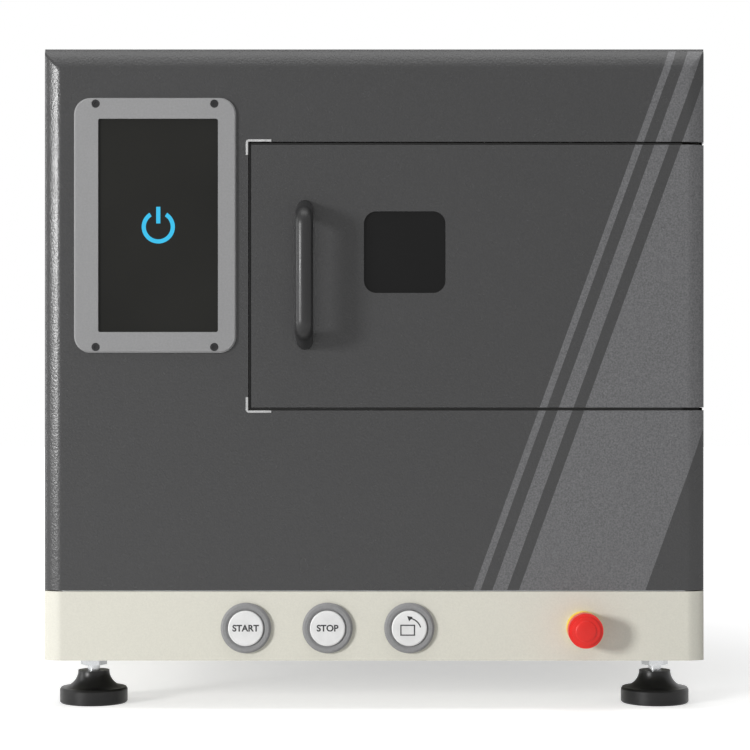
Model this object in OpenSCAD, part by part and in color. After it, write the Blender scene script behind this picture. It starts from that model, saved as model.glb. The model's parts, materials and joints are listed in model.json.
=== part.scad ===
// Benchtop gold melting furnace: a beveled steel cabinet on levelling feet, with a wrap-round door,
// a touch display, three push buttons, a stop mushroom and an induction crucible that tilts into a mould.
// X runs to the right, Y to the back and Z up. The origin is under the middle of the outline, on the floor.

/* [Body] */
// Width of the casing
body_w = 480; // [474:1:540]
// Depth from the front face to the back
body_d = 460; // [440:5:560]
// Height from the floor to the top of the casing
body_h = 480; // [460:5:560]
// Height of the light base below the casing
base_h = 50; // [48:1:64]
// Gap between the floor and the base
foot_gap = 36; // [34:1:44]
// Thickness of the casing, base and door sheet
wall = 2; // [1.5:0.25:2.5]
// Leg of the bevel along the front vertical edges
side_bevel = 14; // [10:1:18]
// Height of the bevel along the front top edge
top_bevel = 18; // [12:1:24]
// Radius that softens the edges of the bevels
bevel_round = 4; // [3:0.5:6]
// Slit between the base and the casing
base_seam = 0.8; // [0.6:0.1:1]
// How far the front shell reaches back behind the hinges
shell_past_hinge = 18.4; // [10:0.2:48]

/* [Door] */
// Height of the door
door_h = 190; // [184:1:196]
// Height of the door's lower edge above the base
door_rise = 133; // [128:1:140]
// Thickness of the door
door_t = 22; // [20:1:24]
// How far the door wraps back along the right side
door_side_d = 102; // [90:1:110]
// Slit round the door
door_gap = 2.1; // [1.5:0.1:3]

/* [Window] */
// Side length of the square window
window_w = 59; // [50:1:66]
// Corner radius of the window
window_round = 9; // [5:1:14]
// Place of the window's middle, as a share of the door's width from its left edge
window_share = 0.3374; // [0.322:0.001:0.346]
// Height of the window's middle above the door's lower edge
window_rise = 112.3; // [108:0.1:116]
// Thickness of the window glass
glass_t = 4; // [3:0.5:5]

/* [Handle] */
// Length of the handle where it meets the door
handle_span = 109; // [95:1:125]
// How far the handle stands out from the door
handle_out = 38.5; // [34:0.5:46]
// Diameter of the grip
grip_d = 13.4; // [11:0.2:16]
// Diameter of a leg where it meets the door
leg_d = 11.2; // [9:0.2:13]
// Bend radius of the handle
handle_bend = 12; // [9:1:16]
// Slant of the handle's legs
leg_slant = 15; // [5:1:22]
// Distance from the door's left edge to the handle
handle_in = 39; // [30:1:48]
// Height of the handle's middle above the door's lower edge
handle_rise = 95.8; // [88:0.1:104]

/* [Display] */
// Width of the bezel's strips beside the screen
bezel_side = 15.25; // [11:0.25:17]
// Height of the bezel's strips above and below the screen
bezel_end = 15; // [12:0.5:23]
// Thickness of the display bezel
bezel_t = 3; // [2.5:0.5:4]
// Corner radius of the display bezel
bezel_round = 12; // [8:1:16]
// Width of the visible screen
screen_w = 86.5; // [76:0.5:97]
// Height of the visible screen
screen_h = 154; // [136:1:174]
// How far the screen sits to the right of the bezel's middle
screen_shift = 2.2; // [0:0.1:3]
// Gap between the casing's left side and the bezel
display_in = 23.3; // [22:0.1:26]
// Gap between the bezel and the door's opening
display_gap = 8.6; // [6:0.2:9.4]
// Distance from the casing's top to the display's middle
display_drop = 129.5; // [124:0.5:144]

/* [Controls] */
// Outer diameter of a push button's ring
button_d = 36.3; // [34:0.1:40]
// Diameter of a push button's cap
cap_d = 25.5; // [23:0.1:26.5]
// Travel of a push button
button_travel = 2.5; // [1.5:0.1:3]
// Spacing of the push buttons
button_pitch = 59; // [52:1:64]
// Place of the first push button, left of the middle
button_left = 92.7; // [85:0.1:110]
// Height of the controls above the base's lower edge
button_rise = 23.8; // [23:0.1:25]
// Place of the stop mushroom, right of the middle
estop_right = 151; // [140:1:165]
// Diameter of the stop mushroom
estop_d = 25; // [24:0.5:32]
// How far the stop mushroom stands out
estop_out = 25; // [23:0.5:30]
// Travel of the stop mushroom
estop_travel = 4; // [3:0.5:5]

/* [Feet] */
// Diameter of a foot pad
pad_d = 50; // [44:1:60]
// Height of a foot pad
pad_h = 24; // [20:1:25]
// Diameter of the pad's hub
hub_d = 23; // [20:1:28]
// Width across the flats of the foot's hexagon
hex_w = 17; // [16:1:19]
// Diameter of the foot's screw
screw_d = 10; // [8:1:12]
// Distance of a foot from the side of the body
foot_in_x = 32; // [30:1:60]
// Distance of a foot from the front or the back of the body
foot_in_y = 45; // [40:1:80]
// How far a foot screws out
foot_travel = 15; // [5:1:18]

/* [Chamber] */
// Distance of the tilt axis below the middle of the window
tilt_drop = 32; // [30:1:36]
// Distance of the crucible's axis behind the front face
pod_y = 115; // [108:1:125]
// Outer diameter of the crucible
crucible_d = 44; // [40:1:46]
// Height of the crucible
crucible_h = 48; // [44:1:49]
// Wall of the crucible
crucible_wall = 6; // [4:0.5:8]
// Wall of the ceramic sleeve round the crucible
sleeve_wall = 7; // [5:0.5:8]
// Diameter of the coil's copper tube
coil_tube_d = 6.5; // [5:0.1:7]
// Rise of the coil in one turn
coil_pitch = 8.2; // [8:0.1:8.6]
// Turns of the coil
coil_turns = 5.5; // [3.5:1:5.5]
// Length of the ingot mould
mould_l = 80; // [60:1:84]
// Width and height of the ingot mould
mould_w = 40; // [36:1:42]
// Thickness of the insulation round the chamber
insulation_t = 22; // [16:1:24]
// Width of the shelf that the door's seal meets, above and below the opening
ledge = 13.5; // [12:0.5:16]
// Width of the shelf that the door's seal meets, left of the opening
side_ledge = 21; // [18:1:24]
// Thickness of the chamber's steel sheets
liner_t = 1.5; // [1:0.25:2]

/* [Drive] */
// Radius of the tilting shaft
shaft_r = 10; // [8:1:11]
// Teeth of the large gear
gear_teeth = 48; // [40:4:48]
// Teeth of the pinion
pinion_teeth = 16; // [16:2:20]
// Module of both gears
gear_module = 2; // [1.75:0.25:2]
// Face width of the gears
gear_w = 10; // [8:1:14]

/* [Back] */
// Width of the fan's frame
fan_w = 92; // [80:1:92]
// Depth of the fan's frame
fan_d = 25; // [20:1:32]
// Thickness of the power inlet's flange
inlet_flange_t = 4; // [3:0.5:5]
// How far the pressed side of the rocker stands out of the flange
rocker_out = 2.5; // [1.5:0.5:3]

/* [Hidden] */
$fn = 48;
// Play between pieces that sit in one another
fit = 0.3;
// Radial clearance of a pin or shaft in its bore
running = 0.05;
// Small overrun of a cut
eps = 1;

// Heights of the base and the casing
base_top = foot_gap + base_h;
casing_z = base_top + base_seam;
chassis_t = 2;
chassis_top = base_top + chassis_t;
side_x = body_w / 2;

// Door and its opening
bezel_w = screen_w + 2 * bezel_side;
bezel_h = screen_h + 2 * bezel_end;
door_x0 = -side_x + display_in + bezel_w + display_gap + door_gap;
door_w = side_x - door_x0;
door_z0 = base_top + door_rise;
door_z1 = door_z0 + door_h;
open_x0 = door_x0 - door_gap;
open_z0 = door_z0 - door_gap;
open_z1 = door_z1 + door_gap;
side_cut = door_side_d + door_gap;
seal_gap = 2;
recess_d = door_t + seal_gap;
seal_w = 7;
window_x = door_x0 + window_share * door_w;
window_z = door_z0 + window_rise;
glass_lip = 5;
glass_seat = 4;
catch_h = 40;
catch_w = 6;
catch_d = 8;
catch_in = 2.5;
catch_x0 = door_x0 + catch_in;
catch_z = (door_z0 + door_z1) / 2;

// Hinges on the right side
hinge_pin_r = 2.5;
knuckle_r = 4.5;
knuckle_off = 0.5;
hinge_x = side_x + knuckle_off + knuckle_r;
hinge_y = side_cut - door_gap / 2;
hinge_h = 44;
hinge_in = 18;
hinge_leaf_t = 2;
hinge_leaf_w = 24;
hinge_z = [door_z0 + hinge_in, door_z1 - hinge_in - hinge_h];
knuckle_gap = 0.4;
knuckle_h = (hinge_h - 2 * knuckle_gap) / 3;
leaf_gap = 0.6;
leaf_screw_in = 8;
leaf_screw_r = 3;
pin_head_h = 1;
front_shell_d = hinge_y + knuckle_r + hinge_leaf_w + shell_past_hinge;

// Chamber
cavity_x0 = open_x0 + side_ledge;
cavity_x1 = side_x - recess_d - liner_t - fit - insulation_t - liner_t;
mouth_in = 2;
mouth_z0 = open_z0 + ledge;
mouth_z1 = open_z1 - ledge;
cavity_z1 = mouth_z1 + 7;
cavity_y0 = recess_d + liner_t;
tilt_x = window_x;
tilt_z = window_z - tilt_drop;

// Tilting frame, measured from the tilt axis
frame_t = 6;
frame_top = 45;
frame_bottom = -30;
sleeve_bore_r = crucible_d / 2 + 0.5;
sleeve_r = sleeve_bore_r + sleeve_wall;
coil_r = sleeve_r + 2 * fit + coil_tube_d / 2;
post_out = coil_r + coil_tube_d / 2;
frame_half = post_out + 5;
post_r = 2;
carrier_y = pod_y + frame_half + 8;
carrier_t = 6;
carrier_edge = 5;
cavity_y1 = carrier_y + carrier_t + 9;
crucible_z0 = 2;
crucible_r = crucible_d / 2;
rim_out = 1.2;
spout_out = 5;
spout_t = 3;

// Ingot mould and its cradle, measured from the tilt axis
mould_x0 = frame_half + 1;
mould_z0 = frame_top - 8;
mould_bar_w = 22;
mould_bar_h = 14;
mould_floor = 12;
cradle_t = 3;
cradle_x1 = mould_x0 + mould_l + fit + cradle_t;
cradle_z1 = mould_z0 + mould_w + fit + cradle_t;
cavity_z0 = tilt_z - cradle_x1 - 6;

// Coil
coil_steps = 24;
coil_sides = 6;
coil_z1 = frame_top - frame_t - coil_tube_d / 2 - 1;
coil_z0 = coil_z1 - coil_pitch * coil_turns;

// Insulation, bulkhead and drive behind the chamber
ins_x0 = cavity_x0 - liner_t - insulation_t;
ins_x1 = cavity_x1 + liner_t + insulation_t;
ins_z0 = cavity_z0 - liner_t - insulation_t;
ins_z1 = cavity_z1 + liner_t + insulation_t;
ins_y1 = cavity_y1 + liner_t + insulation_t;
bulkhead_t = 3;
bulkhead_y = ins_y1 + bulkhead_t;
stand_leg = 20;
bush_wall = 3;
bush_r = shaft_r + bush_wall;
housing_wall = 6;
housing_flange_w = 17;
housing_flange_t = 6;
housing_flange_r = bush_r + housing_flange_w;
housing_r = bush_r + housing_wall;
housing_l = 20;
housing_screw_at = (housing_r + housing_flange_r) / 2;
housing_screw_r = 3;
bush_collar = 3;
passage = [60, 30, 8];
shaft_flange_r = 24;
shaft_flange_t = 5;
shaft_bolt_at = 18;
shaft_bolt_r = 2.8;
gear_hub_r = shaft_r + 7;
gear_hub_out = 8;
shaft_tail = gear_hub_out + 1;
gear_y = bulkhead_y + housing_l + 5;
gear_r = gear_module * gear_teeth / 2;
pinion_r = gear_module * pinion_teeth / 2;
pinion_x = tilt_x + gear_r + pinion_r;
pinion_shaft_r = 4;
motor_r = 18;
motor_h = 64;
gearbox_d = 20;
gearbox_half = 24;

// Display
bezel_x = -side_x + display_in + bezel_w / 2;
bezel_z = body_h - display_drop;
bezel_edge = 1;
screen_x = bezel_x + screen_shift;
glass_margin = 1.8;
display_glass_t = 2;
display_rebate = 1;
module_margin = 0.8;
module_d = 16;
bezel_screw_in = [15.7, 4.2];
bezel_screw_x = bezel_w / 2 - bezel_screw_in[0];
bezel_screw_z = bezel_h / 2 - bezel_screw_in[1];
bezel_screw_head_r = 2.9;
bezel_screw_r = 1.5;
bezel_head_t = 1.8;

// Controls
button_z = foot_gap + button_rise;
button_out = 4;
button_edge = 1.5;
tube_r = 14.7;
tube_d = 10;
nut_t = 3;
cap_stem_r = 4;
switch_l = 26;
collar_t = 6;
collar_r = estop_d / 2 - 0.3;
estop_stem_r = 5;
estop_tube_r = 11;
head_back = collar_t + estop_travel + 0.5;

// Feet
hub_r = hub_d / 2;
pad_rim_h = 10.5;
pad_rim_in = 1;
flare_r = min(pad_d / 2 - pad_rim_in - hub_r, pad_h - pad_rim_h - 1);
hex_h = 7.7;
hex_z = foot_gap - fit - hex_h;
journal_r = screw_d / 2 - 0.35;
pad_bore_z = 6;
nut_r = 9;
nut_h = 10;
screw_top = foot_gap + wall + nut_h + foot_travel + 4;
foot_x = side_x - foot_in_x;
foot_near = foot_in_y;
foot_far = body_d - foot_in_y;

// Electronics on the floor plate
supply_size = [92, 160, 44];
supply_in = 14;
supply_y = 70;
vent_in = 12;
vent_y = 20;
vent_w = 6;
vent_pitch = 20;
vent_count = 7;
vent_deep = 3;
generator_left = 67;
generator_right = 50;
generator_front = 24;
generator_back = 30;
generator_h = 120;
generator_x0 = tilt_x - generator_left;
generator_x1 = side_x - generator_right;
generator_y0 = gear_y + gear_w + generator_front;
generator_y1 = body_d - wall - generator_back;
generator_z1 = chassis_top + generator_h;
fin_count = 9;
fin_t = 3;
fin_h = 26;
fin_in = 10;
fin_pitch = (generator_x1 - generator_x0 - 2 * fin_in - fin_t) / (fin_count - 1);
connector_d = 10;
connector_h = 20;

// Back
cover_flange = 14;
panel_x1 = side_x - wall - cover_flange / 2;
panel_z0 = casing_z + cover_flange / 2;
panel_z1 = body_h - wall - cover_flange / 2;
panel_screw_places = [for (x = [-panel_x1, panel_x1], z = [panel_z0, (panel_z0 + panel_z1) / 2, panel_z1])
    [x, z]];
fan_in = 75;
fan_up = 260;
fan_x = -side_x + fan_in;
fan_z = base_top + fan_up;
fan_bore_r = fan_w / 2 - 2;
fan_hub_r = 17;
fan_shaft_r = 2;
fan_blades = 7;
blade_t = 1.8;
blade_pitch = 40;
tip_gap = 1.5;
strut_w = 5;
strut_t = 3;
hub_plate_t = 4;
fan_screw_in = 5;
fan_screw_r = 2.1;
guard_bar = 2.5;
guard_pitch = 8;
guard_hub_r = 14;
inlet_in = 75;
inlet_up = 70;
inlet_x = -side_x + inlet_in;
inlet_z = base_top + inlet_up;
inlet_w = 60;
inlet_h = 32;
inlet_body_w = 54;
inlet_body_h = 26;
inlet_body_d = 24;
socket_x = -12;
socket_w = 24.5;
socket_h = 17;
socket_d = 17;
rocker_x = 18;
rocker_w = 12;
rocker_r = 10;
rocker_face = 7.5;
rocker_tilt = 12;
rocker_pin_r = 1.5;
slot_w = 4;
slot_l = 44;
slot_pitch = 11;
slot_count = 8;

// Outline of the whole part, which puts the origin under its middle
rear_out = inlet_flange_t + rocker_out;
rocker_y = body_d + rear_out - rocker_face;
shift_x = (hinge_x + knuckle_r - side_x) / 2;
shift_y = (body_d + rear_out - handle_out) / 2;

// Outline helpers: unit vector, inward normal of an edge, and the corner moved in by a distance
function unit(v) = v / norm(v);
function inward(a, b) = [-unit(b - a)[1], unit(b - a)[0]];
function wrapped(i, n) = (i + n) % n;
function corner_normals(p, i) =
    let (n = len(p))
    [inward(p[wrapped(i - 1, n)], p[i]), inward(p[i], p[wrapped(i + 1, n)])];
function inset_corner(p, i, d) =
    let (m = corner_normals(p, i))
    p[i] + (m[0] + m[1]) * d / (1 + m[0] * m[1]);

// Outline with true arcs at its convex corners
module rounded(p, radii) {
    polygon([for (i = [0:len(p) - 1])
        each radii[i] > 0
            ? [for (m = corner_normals(p, i)) inset_corner(p, i, radii[i]) - m * radii[i]]
            : [p[i]]]);
    for (i = [0:len(p) - 1])
        if (radii[i] > 0)
            translate(inset_corner(p, i, radii[i])) circle(radii[i]);
}

// Rectangle about the middle with rounded corners
module round_rect(w, h, r) {
    rounded([[-w / 2, -h / 2], [w / 2, -h / 2], [w / 2, h / 2], [-w / 2, h / 2]], [r, r, r, r]);
}

// Moves the body so that the origin lies under the middle of the outline
module placed() {
    translate([-shift_x, -shift_y, 0]) children();
}

module block(x, y, z) {
    translate([x[0], y[0], z[0]]) cube([x[1] - x[0], y[1] - y[0], z[1] - z[0]]);
}

// Extrudes an outline drawn in X and Z between two depths
module plate_y(y0, y1) {
    translate([0, y1, 0]) rotate([90, 0, 0]) linear_extrude(y1 - y0) children();
}

// Extrudes an outline drawn in Y and Z between two widths
module plate_x(x0, x1) {
    translate([x0, 0, 0]) rotate([90, 0, 90]) linear_extrude(x1 - x0) children();
}

module rod_y(x, z, y0, y1, r) {
    translate([x, y0, z]) rotate([-90, 0, 0]) cylinder(h = y1 - y0, r = r);
}

module rod_z(x, y, z0, z1, r) {
    translate([x, y, z0]) cylinder(h = z1 - z0, r = r);
}

// Plate on the front with its edge beveled: a flat layer and a tapered one
module beveled_plate(w, h, r, t, edge) {
    plate_y(-(t - edge), 0) round_rect(w, h, r);
    // Cross-shaped middle of the tapered layer
    plate_x(-w / 2 + r, w / 2 - r)
        polygon([[-(t - edge), -h / 2], [-(t - edge), h / 2], [-t, h / 2 - edge], [-t, -h / 2 + edge]]);
    translate([0, 0, -h / 2 + r]) linear_extrude(h - 2 * r)
        polygon([[-w / 2, -(t - edge)], [w / 2, -(t - edge)], [w / 2 - edge, -t], [-w / 2 + edge, -t]]);
    for (sx = [-1, 1], sz = [-1, 1])
        translate([sx * (w / 2 - r), -(t - edge), sz * (h / 2 - r)]) rotate([90, 0, 0])
            cylinder(h = edge, r1 = r, r2 = r - edge);
}

// Plan of the body moved in by d: the sides, the front and the bevels between them
module plan_area(d, y_back) {
    leg = side_bevel - (2 - sqrt(2)) * d;
    e = side_x - d;
    r = max(bevel_round - d, 0);
    if (leg > 0.5)
        rounded([[-e, y_back], [-e, d + leg], [-e + leg, d], [e - leg, d], [e, d + leg], [e, y_back]],
                [0, r, r, r, r, 0]);
    else
        polygon([[-e, y_back], [-e, d], [e, d], [e, y_back]]);
}

// Casing's outer form moved in by d, from its plan and its side outline
module casing_form(d, z0) {
    y_far = body_d + 10 * wall;
    slope = [[0, 0], [y_far, 0], [y_far, body_h], [side_bevel, body_h], [0, body_h - top_bevel]];
    r = max(bevel_round - d, 0);
    intersection() {
        translate([0, 0, z0]) linear_extrude(body_h - d - z0) plan_area(d, body_d + eps / 2);
        plate_x(-side_x, side_x)
            rounded([for (i = [0:4]) d > 0 ? inset_corner(slope, i, d) : slope[i]], [0, 0, 0, r, r]);
    }
}

// Casing's sheet between two depths
module casing_sheet(y0, y1) {
    difference() {
        intersection() {
            casing_form(0, casing_z);
            block([-side_x, side_x], [y0, y1], [casing_z, body_h]);
        }
        casing_form(wall, casing_z - eps);
    }
}

// Strip along the front and the right side, between two distances from the outer face
module wrap_area(d0, d1, x0, y1) {
    intersection() {
        difference() {
            plan_area(d0, body_d);
            plan_area(d1, body_d + eps);
        }
        translate([x0, -eps]) square([side_x - x0 + eps, y1 + eps]);
    }
}

module wrap_solid(d0, d1, x0, y1, z0, z1) {
    translate([0, 0, z0]) linear_extrude(z1 - z0) wrap_area(d0, d1, x0, y1);
}

module window_hole(y0, y1, grow) {
    translate([window_x, 0, window_z]) plate_y(y0, y1)
        round_rect(window_w + 2 * grow, window_w + 2 * grow, window_round + grow);
}

// Row of upright cooling slots through a side wall
module side_slots(x0, x1, y0, z0) {
    for (i = [0:slot_count - 1])
        translate([0, y0 + i * slot_pitch, z0 + slot_l / 2]) plate_x(x0, x1)
            round_rect(slot_w, slot_l, slot_w / 2 - 0.1);
}

// Base: an open pan with a flange at its top edge, holes for the controls and nuts for the feet
module base_pan() {
    flange = 15;
    color("#dddccf") placed() difference() {
        union() {
            difference() {
                translate([0, 0, foot_gap]) linear_extrude(base_h) plan_area(0, body_d);
                translate([0, 0, foot_gap + wall]) linear_extrude(base_h - 2 * wall)
                    plan_area(wall, body_d - wall);
                translate([0, 0, foot_gap + wall]) linear_extrude(base_h)
                    plan_area(wall + flange, body_d - wall - flange);
            }
            for (x = [-foot_x, foot_x], y = [foot_near, foot_far])
                rod_z(x, y, foot_gap + wall / 2, foot_gap + wall + nut_h, nut_r);
        }
        for (x = [-foot_x, foot_x], y = [foot_near, foot_far])
            rod_z(x, y, foot_gap - eps, foot_gap + wall + nut_h + eps, screw_d / 2 + running);
        for (i = [0:2])
            rod_y(-button_left + i * button_pitch, button_z, -eps, wall + eps, tube_r + fit / 2);
        rod_y(estop_right, button_z, -eps, wall + eps, estop_tube_r + fit / 2);
        for (i = [0:slot_count - 1])
            translate([0, body_d / 2 + i * slot_pitch, foot_gap - eps]) linear_extrude(wall + 2 * eps)
                round_rect(slot_l, slot_w, slot_w / 2 - 0.1);
    }
}

// Floor of the casing, which carries the chamber and the electronics
module chassis_plate() {
    color("#9a9c9e") placed() translate([0, 0, base_top]) linear_extrude(chassis_t)
        plan_area(wall + fit, body_d - wall - fit);
}

// Front of the casing with the bevels, cut open for the door and the display
module front_shell() {
    color("#4b4b4c") placed() difference() {
        casing_sheet(0, front_shell_d);
        block([open_x0, side_x + eps], [-eps, side_cut], [open_z0, open_z1]);
        translate([screen_x, 0, bezel_z]) plate_y(-eps, wall + eps)
            round_rect(screen_w + 2 * glass_margin + 2 * fit, screen_h + 2 * glass_margin + 2 * fit, 2);
        for (sx = [-1, 1], sz = [-1, 1])
            rod_y(bezel_x + sx * bezel_screw_x, bezel_z + sz * bezel_screw_z, -eps, wall + eps,
                  bezel_screw_r + running);
    }
}

// Rear part of the casing: left side, top and right side in one, with an inner flange at the back
module side_cover() {
    y0 = front_shell_d + fit;
    slots_y = body_d - 50 - slot_count * slot_pitch;
    color("#48494a") placed() difference() {
        union() {
            casing_sheet(y0, body_d);
            difference() {
                intersection() {
                    casing_form(wall / 2, casing_z);
                    block([-side_x, side_x], [body_d - 2 * wall, body_d - wall], [chassis_top + fit, body_h]);
                }
                block([-side_x + wall + cover_flange, side_x - wall - cover_flange],
                      [0, body_d + eps], [0, body_h - wall - cover_flange]);
            }
        }
        side_slots(-side_x - eps, -side_x + wall + eps, slots_y, casing_z + 30);
        side_slots(side_x - wall - eps, side_x + eps, slots_y, casing_z + 30);
        side_slots(-side_x - eps, -side_x + wall + eps, slots_y, casing_z + 60 + slot_l);
        side_slots(side_x - wall - eps, side_x + eps, slots_y, casing_z + 60 + slot_l);
        for (p = panel_screw_places)
            rod_y(p[0], p[1], body_d - 2 * wall - eps, body_d, 2);
    }
}

// Open part of the fan's finger guard: the gaps among its rings and spokes
module guard_gaps() {
    difference() {
        circle(fan_bore_r);
        for (r = [guard_hub_r:guard_pitch:fan_bore_r - guard_pitch / 2])
            difference() {
                circle(r + guard_bar / 2);
                if (r > guard_hub_r)
                    circle(r - guard_bar / 2);
            }
        for (a = [0:45:135])
            rotate(a) square([2 * fan_bore_r, guard_bar], center = true);
    }
}

module rear_panel() {
    half = side_x - wall - fit;
    color("#515253") placed() difference() {
        plate_y(body_d - wall, body_d) difference() {
            translate([-half, casing_z]) square([2 * half, body_h - wall - fit - casing_z]);
            translate([fan_x, fan_z]) guard_gaps();
            translate([inlet_x - inlet_body_w / 2 - fit, inlet_z - inlet_body_h / 2 - fit])
                square([inlet_body_w + 2 * fit, inlet_body_h + 2 * fit]);
            for (i = [0:slot_count - 1], x = [40, 40 + slot_l + 20])
                translate([x, fan_z - 50 + i * slot_pitch]) round_rect(slot_l, slot_w, slot_w / 2 - 0.1);
            for (p = panel_screw_places)
                translate(p) circle(2);
        }
    }
}

// Domed screws of the rear panel and the four socket screws of the display bezel
module panel_screws() {
    color("#1d1d1e") placed() {
        for (p = panel_screw_places) {
            rod_y(p[0], p[1], body_d - 3 * wall, body_d + 0.2, 2);
            difference() {
                rod_y(p[0], p[1], body_d, body_d + 2.2, 3.8);
                rod_y(p[0], p[1], body_d + 1, body_d + 3, 1.25);
            }
        }
        for (sx = [-1, 1], sz = [-1, 1])
            translate([bezel_x + sx * bezel_screw_x, 0, bezel_z + sz * bezel_screw_z]) difference() {
                union() {
                    rod_y(0, 0, -bezel_t + 0.2, -bezel_t + 0.2 + bezel_head_t, bezel_screw_head_r);
                    rod_y(0, 0, -bezel_t + bezel_head_t, wall + 3, bezel_screw_r);
                }
                translate([0, -bezel_t - eps, 0]) rotate([-90, 0, 0])
                    cylinder(h = bezel_head_t, r = 1.5, $fn = 6);
            }
    }
}

// Bright angle trims at the two left corners of the door's opening
module corner_trims() {
    long = 18.5;
    short = 11.3;
    width = 1.7;
    thick = 0.8;
    outer_r = 2.2;
    color("#b9babb") placed()
        for (z = [open_z0, open_z1])
            translate([open_x0, 0, z]) mirror([0, 0, z == open_z0 ? 1 : 0]) plate_y(-thick, 0)
                difference() {
                    rounded([[-width, width - short], [long - width, width - short], [long - width, width],
                             [-width, width]], [0, 0, 0, outer_r]);
                    translate([0, -short]) square([long, short]);
                }
}

// Lining of the recess that the door closes into, with the mouth of the chamber and the catch's pocket
module jamb_frame() {
    t = liner_t;
    color("#8f9194") placed() difference() {
        wrap_solid(wall, recess_d + t, open_x0 - t, side_cut + t, open_z0 - t, open_z1 + t);
        wrap_solid(0, recess_d, open_x0, side_cut, open_z0, open_z1);
        block([cavity_x0 + mouth_in, cavity_x1 - mouth_in], [recess_d - eps, recess_d + t + eps],
              [mouth_z0, mouth_z1]);
        block([catch_x0 - fit, catch_x0 + catch_w + fit], [recess_d - eps, recess_d + t + eps],
              [catch_z - catch_h / 2 - fit, catch_z + catch_h / 2 + fit]);
    }
}

// Magnetic catch behind the shelf, level with the middle of the door
module door_catch() {
    color("#3a3a3c") placed() {
        block([catch_x0, catch_x0 + catch_w], [door_t + fit, door_t + fit + catch_d],
              [catch_z - catch_h / 2, catch_z + catch_h / 2]);
        difference() {
            block([catch_x0 - 4, catch_x0 + catch_w + 2], [recess_d + liner_t, door_t + catch_d - 2],
                  [catch_z - catch_h / 2 - 8, catch_z + catch_h / 2 + 8]);
            block([catch_x0, catch_x0 + catch_w], [door_t, door_t + catch_d],
                  [catch_z - catch_h / 2, catch_z + catch_h / 2]);
        }
    }
}

// Inner box of the chamber, open to the front, with a hole for the shaft
module chamber_liner() {
    t = liner_t;
    color("#b4b2ad") placed() difference() {
        block([cavity_x0 - t, cavity_x1 + t], [cavity_y0, cavity_y1 + t], [cavity_z0 - t, cavity_z1 + t]);
        block([cavity_x0, cavity_x1], [cavity_y0 - eps, cavity_y1], [cavity_z0, cavity_z1]);
        rod_y(tilt_x, tilt_z, cavity_y1 - eps, cavity_y1 + t + eps, shaft_r + 2);
    }
}

module chamber_insulation() {
    t = liner_t + fit / 2;
    slot_x = catch_x0 + catch_w + 2 + fit;
    color("#e9e6dc") placed() difference() {
        block([ins_x0, ins_x1], [cavity_y0 + fit, ins_y1], [ins_z0, ins_z1]);
        block([cavity_x0 - t, cavity_x1 + t], [cavity_y0 - eps, cavity_y1 + t],
              [cavity_z0 - t, cavity_z1 + t]);
        rod_y(tilt_x, tilt_z, cavity_y1, ins_y1 + eps, shaft_r + 2.5);
        block([ins_x0 - eps, slot_x], [0, door_t + fit + catch_d + fit],
              [catch_z - catch_h / 2 - 9, catch_z + catch_h / 2 + 9]);
    }
}

// Stand of the chamber: two rails on legs, with an upright plate behind that carries the drive
module chamber_stand() {
    t = bulkhead_t;
    color("#77797b") placed() difference() {
        union() {
            block([ins_x0, ins_x1], [ins_y1, bulkhead_y], [chassis_top, ins_z1]);
            for (x = [ins_x0, ins_x1 - stand_leg]) {
                block([x, x + stand_leg], [cavity_y0 + t, ins_y1 + t / 2], [ins_z0 - t, ins_z0]);
                block([x, x + stand_leg], [cavity_y0 + t, cavity_y0 + 2 * t], [chassis_top, ins_z0 - t / 2]);
                block([x, x + stand_leg], [cavity_y0 + t, cavity_y0 + t + stand_leg],
                      [chassis_top, chassis_top + t]);
            }
        }
        rod_y(tilt_x, tilt_z, 0, body_d, bush_r);
        // Cable passage under the drive
        translate([tilt_x, 0, chassis_top + passage[0]]) plate_y(ins_y1 - eps, bulkhead_y + eps)
            round_rect(passage[0], passage[1], passage[2]);
    }
}

module display_bezel() {
    color("#98999a") placed() difference() {
        translate([bezel_x, 0, bezel_z]) beveled_plate(bezel_w, bezel_h, bezel_round, bezel_t, bezel_edge);
        translate([screen_x, 0, bezel_z]) plate_y(-bezel_t - eps, eps) round_rect(screen_w, screen_h, 1.5);
        translate([screen_x, 0, bezel_z]) plate_y(-display_rebate, eps)
            round_rect(screen_w + 2 * glass_margin + fit, screen_h + 2 * glass_margin + fit, 1.5);
        for (sx = [-1, 1], sz = [-1, 1]) {
            rod_y(bezel_x + sx * bezel_screw_x, bezel_z + sz * bezel_screw_z, -bezel_t - eps,
                  -bezel_t + 0.2 + bezel_head_t, bezel_screw_head_r + 0.1);
            rod_y(bezel_x + sx * bezel_screw_x, bezel_z + sz * bezel_screw_z, -bezel_t, eps,
                  bezel_screw_r + running);
        }
    }
}

module display_glass() {
    color("#2c2c2b") placed() translate([screen_x, 0, bezel_z])
        plate_y(-display_rebate, display_glass_t - display_rebate)
            round_rect(screen_w + 2 * glass_margin, screen_h + 2 * glass_margin, 1);
}

// Display module behind its glass: a metal tray with a connector block
module display_module() {
    w = screen_w + 2 * glass_margin - 2 * module_margin;
    h = screen_h + 2 * glass_margin - 2 * module_margin;
    y0 = display_glass_t - display_rebate;
    color("#6b6e70") placed() translate([screen_x, 0, bezel_z]) {
        plate_y(y0, y0 + module_d) square([w, h], center = true);
        block([-w / 4, w / 4], [y0 + module_d - eps, y0 + module_d + connector_d],
              [-h / 2 + connector_d, -h / 2 + connector_d + connector_h]);
    }
}

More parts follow.
